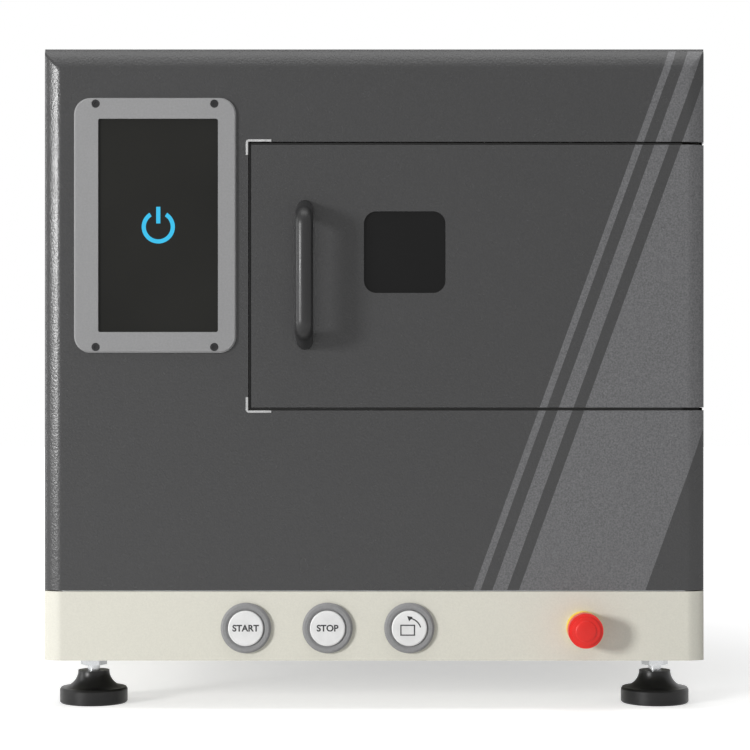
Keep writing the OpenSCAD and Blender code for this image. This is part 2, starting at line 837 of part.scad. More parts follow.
// Power supply in the left bay, a perforated can on the floor plate
module power_supply() {
    x0 = -side_x + wall + supply_in;
    x1 = x0 + supply_size[0];
    z1 = chassis_top + supply_size[2];
    color("#a7a9ab") placed() difference() {
        block([x0, x1], [supply_y, supply_y + supply_size[1]], [chassis_top, z1]);
        for (i = [0:vent_count - 1])
            translate([0, supply_y + vent_y + i * vent_pitch, 0])
                block([x0 + vent_in, x1 - vent_in], [0, vent_w], [z1 - vent_deep, z1 + eps]);
    }
}

// Generator that feeds the coil: a case with a finned heat sink on top
module coil_generator() {
    color("#5d6062") placed() {
        block([generator_x0, generator_x1], [generator_y0, generator_y1], [chassis_top, generator_z1]);
        for (i = [0:fin_count - 1])
            translate([generator_x0 + fin_in + i * fin_pitch, 0, 0])
                block([0, fin_t], [generator_y0 + fin_in, generator_y1 - fin_in],
                      [generator_z1 - eps, generator_z1 + fin_h]);
    }
}

// Frame of the fan with its round duct, four struts and the hub that carries the rotor
module fan_frame() {
    y1 = body_d - wall;
    y0 = y1 - fan_d;
    corner = fan_w / 2 - fan_screw_in;
    color("#2a2a2b") placed() translate([fan_x, 0, fan_z]) difference() {
        union() {
            plate_y(y0, y1) difference() {
                round_rect(fan_w, fan_w, 4);
                circle(fan_bore_r);
            }
            rod_y(0, 0, y0, y0 + hub_plate_t, fan_hub_r);
            for (a = [45:90:315])
                rotate([0, a, 0]) block([fan_hub_r - eps, fan_bore_r + eps / 2], [y0, y0 + strut_t],
                                        [-strut_w / 2, strut_w / 2]);
        }
        rod_y(0, 0, y0 - eps, y0 + hub_plate_t + eps, fan_shaft_r + running);
        for (sx = [-1, 1], sz = [-1, 1])
            rod_y(sx * corner, sz * corner, y0 - eps, y1 + eps, fan_screw_r);
    }
}

// Rotor of the fan: a cup hub on its shaft with seven pitched blades
module fan_rotor() {
    y1 = body_d - wall - hub_plate_t + eps;
    y0 = body_d - wall - fan_d + hub_plate_t + 2;
    tip = fan_bore_r - tip_gap;
    cup = 2;
    color("#3d3e40") placed() translate([fan_x, 0, fan_z]) {
        difference() {
            rod_y(0, 0, y0, y1, fan_hub_r);
            rod_y(0, 0, y0 - eps, y1 - cup, fan_hub_r - cup);
        }
        rod_y(0, 0, y0 - hub_plate_t, y1 - cup / 2, fan_shaft_r);
        intersection() {
            difference() {
                rod_y(0, 0, y0 + eps, y1 - eps, tip);
                rod_y(0, 0, y0, y1, fan_hub_r - eps);
            }
            for (i = [0:fan_blades - 1])
                rotate([0, i * 360 / fan_blades, 0]) translate([0, (y0 + y1) / 2, 0])
                    rotate([blade_pitch, 0, 0])
                        block([fan_hub_r - cup, tip + eps], [-fan_d / 2, fan_d / 2],
                              [-blade_t / 2, blade_t / 2]);
        }
    }
}

// Mains inlet and rocker housing in one moulding, with three contact blades in the socket
module power_inlet() {
    face = body_d + inlet_flange_t;
    color("#232324") placed() translate([inlet_x, 0, inlet_z]) {
        difference() {
            union() {
                plate_y(body_d, face) round_rect(inlet_w, inlet_h, 3);
                plate_y(face - inlet_body_d, body_d + eps)
                    square([inlet_body_w, inlet_body_h], center = true);
            }
            block([socket_x - socket_w / 2, socket_x + socket_w / 2], [face - socket_d, face + eps],
                  [-socket_h / 2, socket_h / 2]);
            block([rocker_x - rocker_w / 2 - 2 * fit, rocker_x + rocker_w / 2 + 2 * fit],
                  [rocker_y - 7, face + eps], [-rocker_r - 2 * fit, rocker_r + 2 * fit]);
        }
        for (p = [[-7, -3], [7, -3], [0, 4]])
            block([socket_x + p[0] - 2, socket_x + p[0] + 2], [face - socket_d - eps, face - 4],
                  [p[1] - 1, p[1] + 1]);
        translate([rocker_x - rocker_w / 2 - eps, rocker_y, 0]) rotate([0, 90, 0])
            cylinder(h = rocker_w + 2 * eps, r = rocker_pin_r);
    }
}

// Rocker that turns on the pin of its housing; its two faces meet in a ridge
module switch_rocker() {
    color("#c9302a") placed() translate([inlet_x + rocker_x, rocker_y, inlet_z])
        rotate([-rocker_tilt, 0, 0]) difference() {
            plate_x(-rocker_w / 2, rocker_w / 2) intersection() {
                circle(rocker_r);
                translate([-5, -rocker_r]) square([rocker_r + 5, 2 * rocker_r]);
                rotate(rocker_tilt) translate([-3 * rocker_r, -3 * rocker_r])
                    square([3 * rocker_r + rocker_face, 6 * rocker_r]);
                rotate(-rocker_tilt) translate([-3 * rocker_r, -3 * rocker_r])
                    square([3 * rocker_r + rocker_face, 6 * rocker_r]);
            }
            translate([-rocker_w, 0, 0]) rotate([0, 90, 0])
                cylinder(h = 2 * rocker_w, r = rocker_pin_r + running);
        }
}

// Places the children at each push button
module at_buttons() {
    for (i = [0:2])
        translate([-button_left + i * button_pitch, 0, button_z]) children();
}

// Turned profile along Y: the profile's height runs towards the front
module turned_front() {
    rotate([90, 0, 0]) rotate_extrude() children();
}

// Rings of the push buttons, each with the threaded tube that goes through the base
module button_rings() {
    r = button_d / 2;
    bore = cap_d / 2 + fit;
    color("#97989a") placed() at_buttons() turned_front()
        polygon([[bore, -tube_d], [tube_r, -tube_d], [tube_r, 0], [r, 0], [r, button_out - button_edge],
                 [r - button_edge, button_out], [bore + 1.6, button_out], [bore, button_out - 1]]);
}

// Cap of a push button with the stem that works its switch
module button_cap(i) {
    r = cap_d / 2;
    placed() translate([-button_left + i * button_pitch, 0, button_z]) turned_front()
        polygon([[0, -tube_d - 4], [cap_stem_r, -tube_d - 4], [cap_stem_r, -tube_d + 7], [r, -tube_d + 7],
                 [r, button_out + 0.6], [r - 0.8, button_out + 1.2], [0, button_out + 1.2]]);
}

module start_button() {
    color("#e9e9e8") button_cap(0);
}

module stop_button() {
    color("#e9e9e8") button_cap(1);
}

module pour_button() {
    color("#e9e9e8") button_cap(2);
}

// Nuts and contact blocks behind the push buttons and the stop mushroom
module switch_bodies() {
    color("#33373b") placed() {
        at_buttons() {
            difference() {
                rod_y(0, 0, wall, wall + nut_t, tube_r + 3);
                rod_y(0, 0, 0, wall + nut_t + eps, tube_r);
            }
            difference() {
                plate_y(tube_d, tube_d + switch_l) round_rect(28, 28, 3);
                rod_y(0, 0, tube_d - eps, tube_d + 4 + button_travel + eps, cap_stem_r + fit);
            }
        }
        translate([estop_right, 0, button_z]) {
            difference() {
                rod_y(0, 0, wall, wall + nut_t, estop_tube_r + 3);
                rod_y(0, 0, 0, wall + nut_t + eps, estop_tube_r);
            }
            difference() {
                plate_y(tube_d + 2, tube_d + 2 + switch_l) round_rect(26, 28, 3);
                rod_y(0, 0, tube_d, tube_d + 4 + estop_travel + eps, estop_stem_r + fit);
            }
        }
    }
}

// Yellow collar of the stop mushroom with its threaded tube
module estop_collar() {
    bore = estop_stem_r + running;
    color("#e8c62a") placed() translate([estop_right, 0, button_z]) turned_front()
        polygon([[bore, -tube_d - 2], [estop_tube_r, -tube_d - 2], [estop_tube_r, 0], [collar_r, 0],
                 [collar_r, collar_t - 1], [collar_r - 1, collar_t], [bore, collar_t]]);
}

// Stem that slides in the collar and carries the mushroom
module estop_stem() {
    color("#b5b6b8") placed() translate([estop_right, 0, button_z]) turned_front()
        polygon([[0, -tube_d - 4], [estop_stem_r, -tube_d - 4], [estop_stem_r, estop_out - 6],
                 [estop_stem_r - 0.5, estop_out - 5.5], [0, estop_out - 5.5]]);
}

// Red mushroom, which twists on the stem to let go; its top has a ring step and a shallow dome
module estop_head() {
    r = estop_d / 2;
    bore = estop_stem_r + running;
    color("#e03a32") placed() translate([estop_right, 0, button_z]) turned_front() difference() {
        union() {
            translate([0, head_back]) square([r - 2, 3]);
            translate([0, head_back + 2]) square([r, estop_out - head_back - 4.5]);
            intersection() {
                translate([0, estop_out - 4 * r]) circle(4 * r);
                translate([0, head_back + 3]) square([r - 2.2, estop_out]);
            }
        }
        translate([0, head_back - eps]) square([bore, estop_out - 5 - head_back + eps]);
        translate([-2 * r, 0]) square([2 * r, 2 * estop_out]);
    }
}

// Flanged housing of the tilting shaft, on the back of the stand's plate
module bearing_housing() {
    color("#85878a") placed() difference() {
        union() {
            rod_y(tilt_x, tilt_z, bulkhead_y, bulkhead_y + housing_flange_t, housing_flange_r);
            rod_y(tilt_x, tilt_z, bulkhead_y, bulkhead_y + housing_l, housing_r);
        }
        rod_y(tilt_x, tilt_z, bulkhead_y - eps, bulkhead_y + housing_l + eps, bush_r);
        for (a = [45:90:315])
            rod_y(tilt_x + housing_screw_at * cos(a), tilt_z + housing_screw_at * sin(a),
                  bulkhead_y + housing_flange_t / 2, bulkhead_y + housing_l, housing_screw_r);
    }
}

module shaft_bush() {
    color("#b08a3e") placed() difference() {
        union() {
            rod_y(tilt_x, tilt_z, ins_y1, bulkhead_y + housing_l + eps, bush_r);
            rod_y(tilt_x, tilt_z, bulkhead_y + housing_l, bulkhead_y + housing_l + bush_collar,
                  bush_r + bush_collar);
        }
        rod_y(tilt_x, tilt_z, ins_y1 - eps, bulkhead_y + housing_l + bush_collar + eps, shaft_r + running);
    }
}

// Worm gearbox on the stand's plate with its motor upright beside the gear
module drive_motor() {
    half = gearbox_half;
    top = pinion_r + gear_module + half / 2;
    color("#3f4245") placed() translate([pinion_x, bulkhead_y, tilt_z]) difference() {
        union() {
            block([-half, half], [0, gearbox_d], [-half, top]);
            translate([0, motor_r + fit, top - eps]) cylinder(h = motor_h, r = motor_r);
        }
        rod_y(0, 0, 4, gearbox_d + eps, pinion_shaft_r + running);
    }
}

// Fixed halves of the two hinges: a leaf on the casing with an upper and a lower knuckle
module hinge_leaves_fixed() {
    leaf_x = [side_x - hinge_x, side_x - hinge_x + hinge_leaf_t];
    color("#38393a") placed() for (z = hinge_z) translate([hinge_x, hinge_y, z]) difference() {
        union() {
            for (k = [0, 1])
                translate([0, 0, k * (hinge_h - knuckle_h)]) {
                    cylinder(h = knuckle_h, r = knuckle_r);
                    block(leaf_x, [0, knuckle_r + 2 * eps], [0, knuckle_h]);
                }
            block(leaf_x, [knuckle_r + leaf_gap, knuckle_r + hinge_leaf_w], [0, hinge_h]);
        }
        translate([0, 0, -eps]) cylinder(h = hinge_h + 2 * eps, r = hinge_pin_r + running);
        for (h = [leaf_screw_in, hinge_h - leaf_screw_in])
            translate([leaf_x[0] + hinge_leaf_t / 2, knuckle_r + hinge_leaf_w / 2, h])
                rotate([0, 90, 0]) cylinder(h = 2 * hinge_leaf_t, r = leaf_screw_r);
    }
}

// Door halves of the two hinges, each with the middle knuckle
module hinge_leaves_door() {
    leaf_x = [side_x - hinge_x, side_x - hinge_x + hinge_leaf_t];
    color("#38393a") placed() for (z = hinge_z) translate([hinge_x, hinge_y, z]) difference() {
        union() {
            translate([0, 0, knuckle_h + knuckle_gap]) {
                cylinder(h = knuckle_h, r = knuckle_r);
                block(leaf_x, [-knuckle_r - 2 * eps, 0], [0, knuckle_h]);
            }
            block(leaf_x, [-knuckle_r - hinge_leaf_w, -knuckle_r - leaf_gap], [0, hinge_h]);
        }
        translate([0, 0, -eps]) cylinder(h = hinge_h + 2 * eps, r = hinge_pin_r + running);
        for (h = [leaf_screw_in, hinge_h - leaf_screw_in])
            translate([leaf_x[0] + hinge_leaf_t / 2, -knuckle_r - hinge_leaf_w / 2, h])
                rotate([0, 90, 0]) cylinder(h = 2 * hinge_leaf_t, r = leaf_screw_r);
    }
}

// Pins of the hinges, with a flat head on the upper knuckle
module hinge_pins() {
    color("#a8aaac") placed() for (z = hinge_z) {
        rod_z(hinge_x, hinge_y, z, z + hinge_h + pin_head_h / 2, hinge_pin_r);
        rod_z(hinge_x, hinge_y, z + hinge_h, z + hinge_h + pin_head_h, hinge_pin_r + 1);
    }
}

// Door's outer pan: the front and the side leaf in one sheet, with edges turned in
module door_skin() {
    color("#4b4b4c") placed() difference() {
        wrap_solid(0, door_t - liner_t, door_x0, door_side_d, door_z0, door_z1);
        wrap_solid(wall, door_t + eps, door_x0 + wall, door_side_d - wall, door_z0 + wall, door_z1 - wall);
        window_hole(-eps, wall + eps, 0);
    }
}

module door_insulation() {
    g = wall + fit / 2;
    color("#e4e0d4") placed() difference() {
        wrap_solid(g, door_t - liner_t, door_x0 + g, door_side_d - g, door_z0 + g, door_z1 - g);
        window_hole(-eps, door_t + eps, glass_lip + glass_seat + fit);
    }
}

// Inner sheet of the door, which closes the pan
module door_liner() {
    color("#a4a29d") placed() difference() {
        wrap_solid(door_t - liner_t, door_t, door_x0, door_side_d, door_z0, door_z1);
        window_hole(0, door_t + eps, 0);
    }
}

// Dark glass behind the door's skin
module window_glass() {
    color("#232323") placed() window_hole(wall, wall + glass_t, glass_lip);
}

// Retainer that holds the glass and lines the sight tunnel
module window_frame() {
    color("#2b2b2c") placed() difference() {
        window_hole(wall, door_t - liner_t, glass_lip + glass_seat);
        window_hole(0, wall + glass_t, glass_lip + fit / 2);
        window_hole(0, door_t, 0);
    }
}

// Bow handle: a straight grip, two bends and two slanted legs that taper towards the door.
// The bends are a little slimmer and the straight pieces lap over them.
module door_handle() {
    r = grip_d / 2;
    bend_r = r - 0.1;
    lap = 0.6;
    turn = 90 - leg_slant;
    axis_y = -(handle_out - r);
    bend_y = axis_y + handle_bend - handle_bend * cos(turn);
    leg_l = -bend_y / cos(leg_slant);
    half = handle_span / 2 - leg_d / 2 / cos(leg_slant);
    grip_half = half - leg_l * sin(leg_slant) - handle_bend * sin(turn);
    color("#343435") placed() translate([door_x0 + handle_in, 0, door_z0 + handle_rise]) difference() {
        union() {
            rod_z(0, axis_y, -grip_half - lap, grip_half + lap, r);
            for (m = [0, 1])
                mirror([0, 0, m]) {
                    translate([0, axis_y + handle_bend, grip_half]) rotate([90, 0, 90])
                        rotate([0, 0, 180 - turn]) rotate_extrude(angle = turn)
                            translate([handle_bend, 0]) circle(bend_r);
                    translate([0, bend_y, grip_half + handle_bend * sin(turn)]) rotate([-turn, 0, 0])
                        translate([0, 0, -lap]) cylinder(h = leg_l + lap + 3, r1 = r, r2 = leg_d / 2);
                }
        }
        block([-20, 20], [0, 40], [-handle_span, handle_span]);
    }
}

// Rope seal on the door's inner face, round the mouth of the chamber
module door_seal() {
    y1 = recess_d - fit;
    x0 = cavity_x0 + mouth_in - 1.5;
    x1 = cavity_x1 - mouth_in + 1.5;
    z0 = mouth_z0 - 1.5;
    z1 = mouth_z1 + 1.5;
    color("#d8d2c2") placed() translate([(x0 + x1) / 2, 0, (z0 + z1) / 2]) plate_y(door_t, y1) difference() {
        round_rect(x1 - x0 + 2 * seal_w, z1 - z0 + 2 * seal_w, seal_w + 2);
        round_rect(x1 - x0, z1 - z0, 2);
    }
}

// Moves what is drawn about the tilt axis to its place
module at_tilt() {
    translate([tilt_x, 0, tilt_z]) children();
}

// Hollow shaft that turns the carrier, with a flange against the carrier's plate
module tilt_shaft() {
    y0 = carrier_y + carrier_t;
    color("#a2a5a8") placed() at_tilt() difference() {
        union() {
            rod_y(0, 0, y0, gear_y + gear_w + shaft_tail, shaft_r);
            rod_y(0, 0, y0, y0 + shaft_flange_t, shaft_flange_r);
        }
        rod_y(0, 0, y0 - eps, gear_y + gear_w + shaft_tail + eps, shaft_r / 2);
        for (a = [0:60:300])
            rod_y(shaft_bolt_at * cos(a), shaft_bolt_at * sin(a), y0 + 2, y0 + shaft_flange_t + eps,
                  shaft_bolt_r);
    }
}

// Plate behind the crucible that carries the coil's frame and the mould's cradle
module carrier_plate() {
    color("#b9b8b3") placed() at_tilt() plate_y(carrier_y, carrier_y + carrier_t) difference() {
        union() {
            translate([0, (frame_top + frame_bottom) / 2])
                round_rect(2 * (frame_half + carrier_edge), frame_top - frame_bottom + 2 * carrier_edge, 10);
            translate([(frame_half - 20 + cradle_x1) / 2, (mould_z0 - cradle_t - fit + cradle_z1) / 2])
                round_rect(cradle_x1 - frame_half + 20, cradle_z1 - mould_z0 + cradle_t + fit, 5);
        }
        circle(shaft_r / 2);
    }
}

// Polar angle of the involute at radius r, in degrees
function involute(base_r, r) =
    let (t = sqrt(max(r * r / (base_r * base_r) - 1, 0)))
    t * 180 / PI - atan(t);

// Outline of a spur gear with involute flanks; play thins each tooth at the pitch circle
function gear_points(teeth, play) =
    let (
        pitch_r = gear_module * teeth / 2,
        base_r = pitch_r * cos(20),
        root_r = pitch_r - 1.25 * gear_module,
        tip_r = pitch_r + gear_module,
        low_r = max(root_r, base_r),
        half = 90 / teeth - play / 2 / pitch_r * 180 / PI + involute(base_r, pitch_r),
        flank = [for (k = [0:3]) let (r = low_r + (tip_r - low_r) * k / 3) [r, half - involute(base_r, r)]],
        tooth = concat(
            [[root_r - 0.01, -half - 0.6]],
            [for (k = [0:3]) [flank[k][0], -flank[k][1]]],
            [for (k = [3:-1:0]) flank[k]],
            [[root_r - 0.01, half + 0.6]])
    )
    [for (i = [0:teeth - 1], p = tooth) p[0] * [cos(p[1] + i * 360 / teeth), sin(p[1] + i * 360 / teeth)]];

module drive_gear() {
    color("#8c8f92") placed() at_tilt() difference() {
        union() {
            plate_y(gear_y, gear_y + gear_w) polygon(gear_points(gear_teeth, 0.25));
            rod_y(0, 0, gear_y + gear_w - eps, gear_y + gear_w + gear_hub_out, gear_hub_r);
        }
        rod_y(0, 0, gear_y - eps, gear_y + gear_w + gear_hub_out + eps, shaft_r);
        for (a = [30:60:330])
            rotate([0, a, 0])
                rod_y(gear_r * 0.62, 0, gear_y - eps, gear_y + gear_w + eps, gear_r / 6);
    }
}

// Pinion with its shaft, turned half a tooth so that it meshes
module drive_pinion() {
    color("#c0a24a") placed() translate([pinion_x, 0, tilt_z]) {
        plate_y(gear_y, gear_y + gear_w) rotate(180 / pinion_teeth) polygon(gear_points(pinion_teeth, 0.25));
        rod_y(0, 0, bulkhead_y + 6, gear_y + gear_w + 3, pinion_shaft_r);
    }
}

// Frame of the coil: two ceramic end plates from the carrier's plate, tied by four posts
module coil_frame() {
    color("#cfc9bb") placed() at_tilt() {
        for (z = [frame_bottom, frame_top - frame_t])
            difference() {
                translate([0, (pod_y + carrier_y - frame_half) / 2, z]) linear_extrude(frame_t)
                    round_rect(2 * frame_half, carrier_y - pod_y + frame_half, 8);
                if (z > 0)
                    rod_z(0, pod_y, z - eps, z + frame_t + eps, crucible_r + 1.8);
            }
        for (sx = [-1, 1]) {
            rod_z(sx * post_out, pod_y - post_out, frame_bottom + eps, frame_top - eps, post_r);
            rod_z(sx * (post_out + post_r + 2 * fit), pod_y + post_out, frame_bottom + eps, frame_top - eps,
                  post_r);
        }
    }
}

// Sleeve with a floor that holds the crucible inside the coil
module ceramic_sleeve() {
    z0 = frame_bottom + frame_t;
    z1 = frame_top - frame_t;
    color("#ece6d6") placed() at_tilt() difference() {
        rod_z(0, pod_y, z0, z1, sleeve_r);
        rod_z(0, pod_y, crucible_z0 - fit, z1 + eps, sleeve_bore_r);
    }
}

// Centre line of the coil: straight leads from the carrier's plate and a helix between them
function coil_angle(i) = 180 + 360 * i / coil_steps;
coil_last = coil_steps * coil_turns;
lead_back = carrier_y - pod_y;
coil_path = concat(
    [[-coil_r, lead_back, 0], [-coil_r, coil_tube_d, 0]],
    [for (i = [0:coil_last])
        [coil_r * cos(coil_angle(i)), coil_r * sin(coil_angle(i)), coil_pitch * i / coil_steps]],
    [[coil_r, coil_tube_d, coil_pitch * coil_turns], [coil_r, lead_back, coil_pitch * coil_turns]]);
coil_radial = concat(
    [[-1, 0, 0], [-1, 0, 0]],
    [for (i = [0:coil_last]) [cos(coil_angle(i)), sin(coil_angle(i)), 0]],
    [[1, 0, 0], [1, 0, 0]]);
coil_count = len(coil_path);
function coil_heading(i) =
    i < 2 ? [0, -1, 0]
    : i >= coil_count - 2 ? [0, 1, 0]
    : unit([coil_radial[i][1] * -1, coil_radial[i][0], coil_pitch / (2 * PI * coil_r)]);
coil_points = [for (i = [0:coil_count - 1])
    let (side = coil_radial[i], up = cross(coil_heading(i), side))
    for (k = [0:coil_sides - 1])
        let (a = (k + 0.5) * 360 / coil_sides)
        coil_path[i] + coil_tube_d / 2 * (cos(a) * side + sin(a) * up)];
coil_faces = concat(
    [[for (k = [0:coil_sides - 1]) k]],
    [for (i = [0:coil_count - 2], k = [0:coil_sides - 1])
        let (a = i * coil_sides + k, b = i * coil_sides + (k + 1) % coil_sides)
        each [[a, a + coil_sides, b], [b, a + coil_sides, b + coil_sides]]],
    [[for (k = [coil_sides - 1:-1:0]) (coil_count - 1) * coil_sides + k]]);

// Least gap between two stretches of the coil, measured on its points
coil_gap = min([for (i = [0:coil_count - 1], j = [i + coil_steps / 2:1:coil_count - 1])
    norm(coil_path[i] - coil_path[j]) - coil_tube_d]);
echo(coil_gap = coil_gap);

module induction_coil() {
    color("#c27a4a") placed() at_tilt() translate([0, pod_y, coil_z0])
        polyhedron(points = coil_points, faces = coil_faces, convexity = 10);
}

// Open-fronted holder of the mould: floor, end stop, top and a back stop
module mould_cradle() {
    z0 = mould_z0 - fit;
    z1 = mould_z0 + mould_w + fit;
    x1 = mould_x0 + mould_l + fit;
    y0 = pod_y - mould_w / 2 + 3;
    y_stop = pod_y + mould_w / 2 + fit;
    color("#a9aaa8") placed() at_tilt() {
        block([mould_x0 + 4, cradle_x1], [y0, carrier_y], [z0 - cradle_t, z0]);
        block([x1, cradle_x1], [y0, carrier_y], [z0 - cradle_t, cradle_z1]);
        block([mould_x0 + 20, cradle_x1], [y0, carrier_y], [z1, z1 + cradle_t]);
        block([mould_x0 + 20, x1 + eps], [y_stop, y_stop + cradle_t], [z0 - eps, z1 + eps]);
    }
}

// Graphite mould of a bar, filled through the funnel at its left end
module ingot_mould() {
    mouth = 11;
    middle = mould_z0 + mould_w / 2;
    color("#3b3c3e") placed() at_tilt() difference() {
        block([mould_x0, mould_x0 + mould_l], [pod_y - mould_w / 2, pod_y + mould_w / 2],
              [mould_z0, mould_z0 + mould_w]);
        block([mould_x0 - eps, mould_x0 + mould_l - mould_floor],
              [pod_y - mould_bar_w / 2, pod_y + mould_bar_w / 2],
              [middle - mould_bar_h / 2, middle + mould_bar_h / 2]);
        translate([mould_x0 - 0.01, pod_y, middle]) rotate([0, 90, 0])
            cylinder(h = mouth, r1 = mould_w / 2 - 5, r2 = mould_bar_h / 2);
    }
}

// Graphite crucible with a round bottom inside, a flared rim and a spout towards the mould
module crucible() {
    bore = crucible_r - crucible_wall;
    h = crucible_h;
    color("#4a4a4c") placed() at_tilt() translate([0, pod_y, crucible_z0]) difference() {
        union() {
            rotate_extrude() polygon([[0, 0], [crucible_r - 4, 0], [crucible_r, 4], [crucible_r, h - 5],
                [crucible_r + rim_out, h - 3.5], [crucible_r + rim_out, h], [0, h]]);
            translate([0, 0, h - spout_t]) linear_extrude(spout_t)
                polygon([[bore + 2, -9], [crucible_r + spout_out, -4], [crucible_r + spout_out, 4],
                         [bore + 2, 9]]);
        }
        translate([0, 0, crucible_wall + bore]) {
            cylinder(h = h, r = bore);
            sphere(bore);
        }
        translate([bore - 2, 0, h + 1.5]) rotate([0, 90, 0]) cylinder(h = 20, r = 3.5);
    }
}

// Pad of a foot: a rim, a hollow-curved flare and a hub with the bore for the screw's end
module foot_pad(x, y) {
    r = pad_d / 2;
    color("#1c1c1d") placed() translate([x, y, 0]) rotate_extrude() difference() {
        polygon([[0, 0], [r - 1, 0], [r, 1], [r, pad_rim_h - 0.5], [r - pad_rim_in, pad_rim_h + 1],
                 [r - pad_rim_in, pad_h], [0, pad_h]]);
        translate([hub_r + flare_r, pad_h]) circle(flare_r);
        translate([hub_r + flare_r, pad_h - flare_r]) square([r, 2 * flare_r]);
        translate([-eps, pad_bore_z]) square([journal_r + running + eps, pad_h]);
    }
}

// Screw of a foot: the journal in the pad, the hexagon under the base and the rod in the base's nut
module foot_spindle(x, y) {
    color("#c4c6c8") placed() translate([x, y, 0]) {
        rod_z(0, 0, pad_bore_z + fit, hex_z + eps, journal_r);
        translate([0, 0, hex_z]) cylinder(h = hex_h, r = hex_w / sqrt(3), $fn = 6);
        rod_z(0, 0, hex_z + hex_h - eps, screw_top, screw_d / 2);
    }
}

module foot_pad_fl() {
    foot_pad(-foot_x, foot_near);
}

module foot_pad_fr() {
    foot_pad(foot_x, foot_near);
}

module foot_pad_rl() {
    foot_pad(-foot_x, foot_far);
}

module foot_pad_rr() {
    foot_pad(foot_x, foot_far);
}

module foot_spindle_fl() {
    foot_spindle(-foot_x, foot_near);
}

module foot_spindle_fr() {
    foot_spindle(foot_x, foot_near);
}

module foot_spindle_rl() {
    foot_spindle(-foot_x, foot_far);
}

module foot_spindle_rr() {
    foot_spindle(foot_x, foot_far);
}

base_pan();
chassis_plate();
front_shell();
side_cover();
rear_panel();
panel_screws();
corner_trims();
jamb_frame();
chamber_liner();
chamber_insulation();
chamber_stand();
display_bezel();
display_glass();
display_module();
power_supply();
coil_generator();
fan_frame();
power_inlet();
button_rings();
switch_bodies();
estop_collar();
bearing_housing();
shaft_bush();
drive_motor();
hinge_leaves_fixed();
hinge_pins();
door_catch();
door_skin();
door_insulation();
door_liner();
window_glass();
window_frame();
door_handle();
hinge_leaves_door();
door_seal();
tilt_shaft();
carrier_plate();
drive_gear();
coil_frame();
ceramic_sleeve();
induction_coil();
mould_cradle();
ingot_mould();
crucible();
drive_pinion();
fan_rotor();
switch_rocker();
start_button();
stop_button();
pour_button();
estop_stem();
estop_head();
foot_pad_fl();
foot_pad_fr();
foot_pad_rl();
foot_pad_rr();
foot_spindle_fl();
foot_spindle_fr();
foot_spindle_rl();
foot_spindle_rr();
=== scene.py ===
import json
import math

import bmesh
import bpy
from mathutils import Matrix, Vector


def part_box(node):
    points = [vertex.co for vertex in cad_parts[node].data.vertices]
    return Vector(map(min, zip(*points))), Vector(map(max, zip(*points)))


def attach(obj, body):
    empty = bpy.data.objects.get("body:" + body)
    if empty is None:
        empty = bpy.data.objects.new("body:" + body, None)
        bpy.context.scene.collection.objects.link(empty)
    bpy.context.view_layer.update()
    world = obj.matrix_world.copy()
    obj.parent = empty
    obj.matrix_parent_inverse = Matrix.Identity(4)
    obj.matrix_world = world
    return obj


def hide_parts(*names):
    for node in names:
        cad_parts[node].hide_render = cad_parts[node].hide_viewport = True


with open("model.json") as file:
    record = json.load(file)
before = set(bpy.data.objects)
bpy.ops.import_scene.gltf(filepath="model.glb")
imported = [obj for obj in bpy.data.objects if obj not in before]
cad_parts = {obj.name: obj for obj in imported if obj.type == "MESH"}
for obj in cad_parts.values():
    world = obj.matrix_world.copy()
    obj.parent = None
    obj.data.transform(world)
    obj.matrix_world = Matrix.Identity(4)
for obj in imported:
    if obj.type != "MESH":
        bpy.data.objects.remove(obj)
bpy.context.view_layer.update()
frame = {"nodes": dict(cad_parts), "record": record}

MM = 0.001
NODES = frame["nodes"]

# Places that the new pieces are set from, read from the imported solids
shell_low, shell_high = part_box("front_shell")
door_low, door_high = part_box("door_skin")
FACE_Y = shell_low.y


def middle(node):
    low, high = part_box(node)
    return (low + high) / 2


def front_middle(node):
    """The middle of the side of a node that faces the photographer."""
    low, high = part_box(node)
    return Vector(((low.x + high.x) / 2, low.y, (low.z + high.z) / 2))


# Finishes


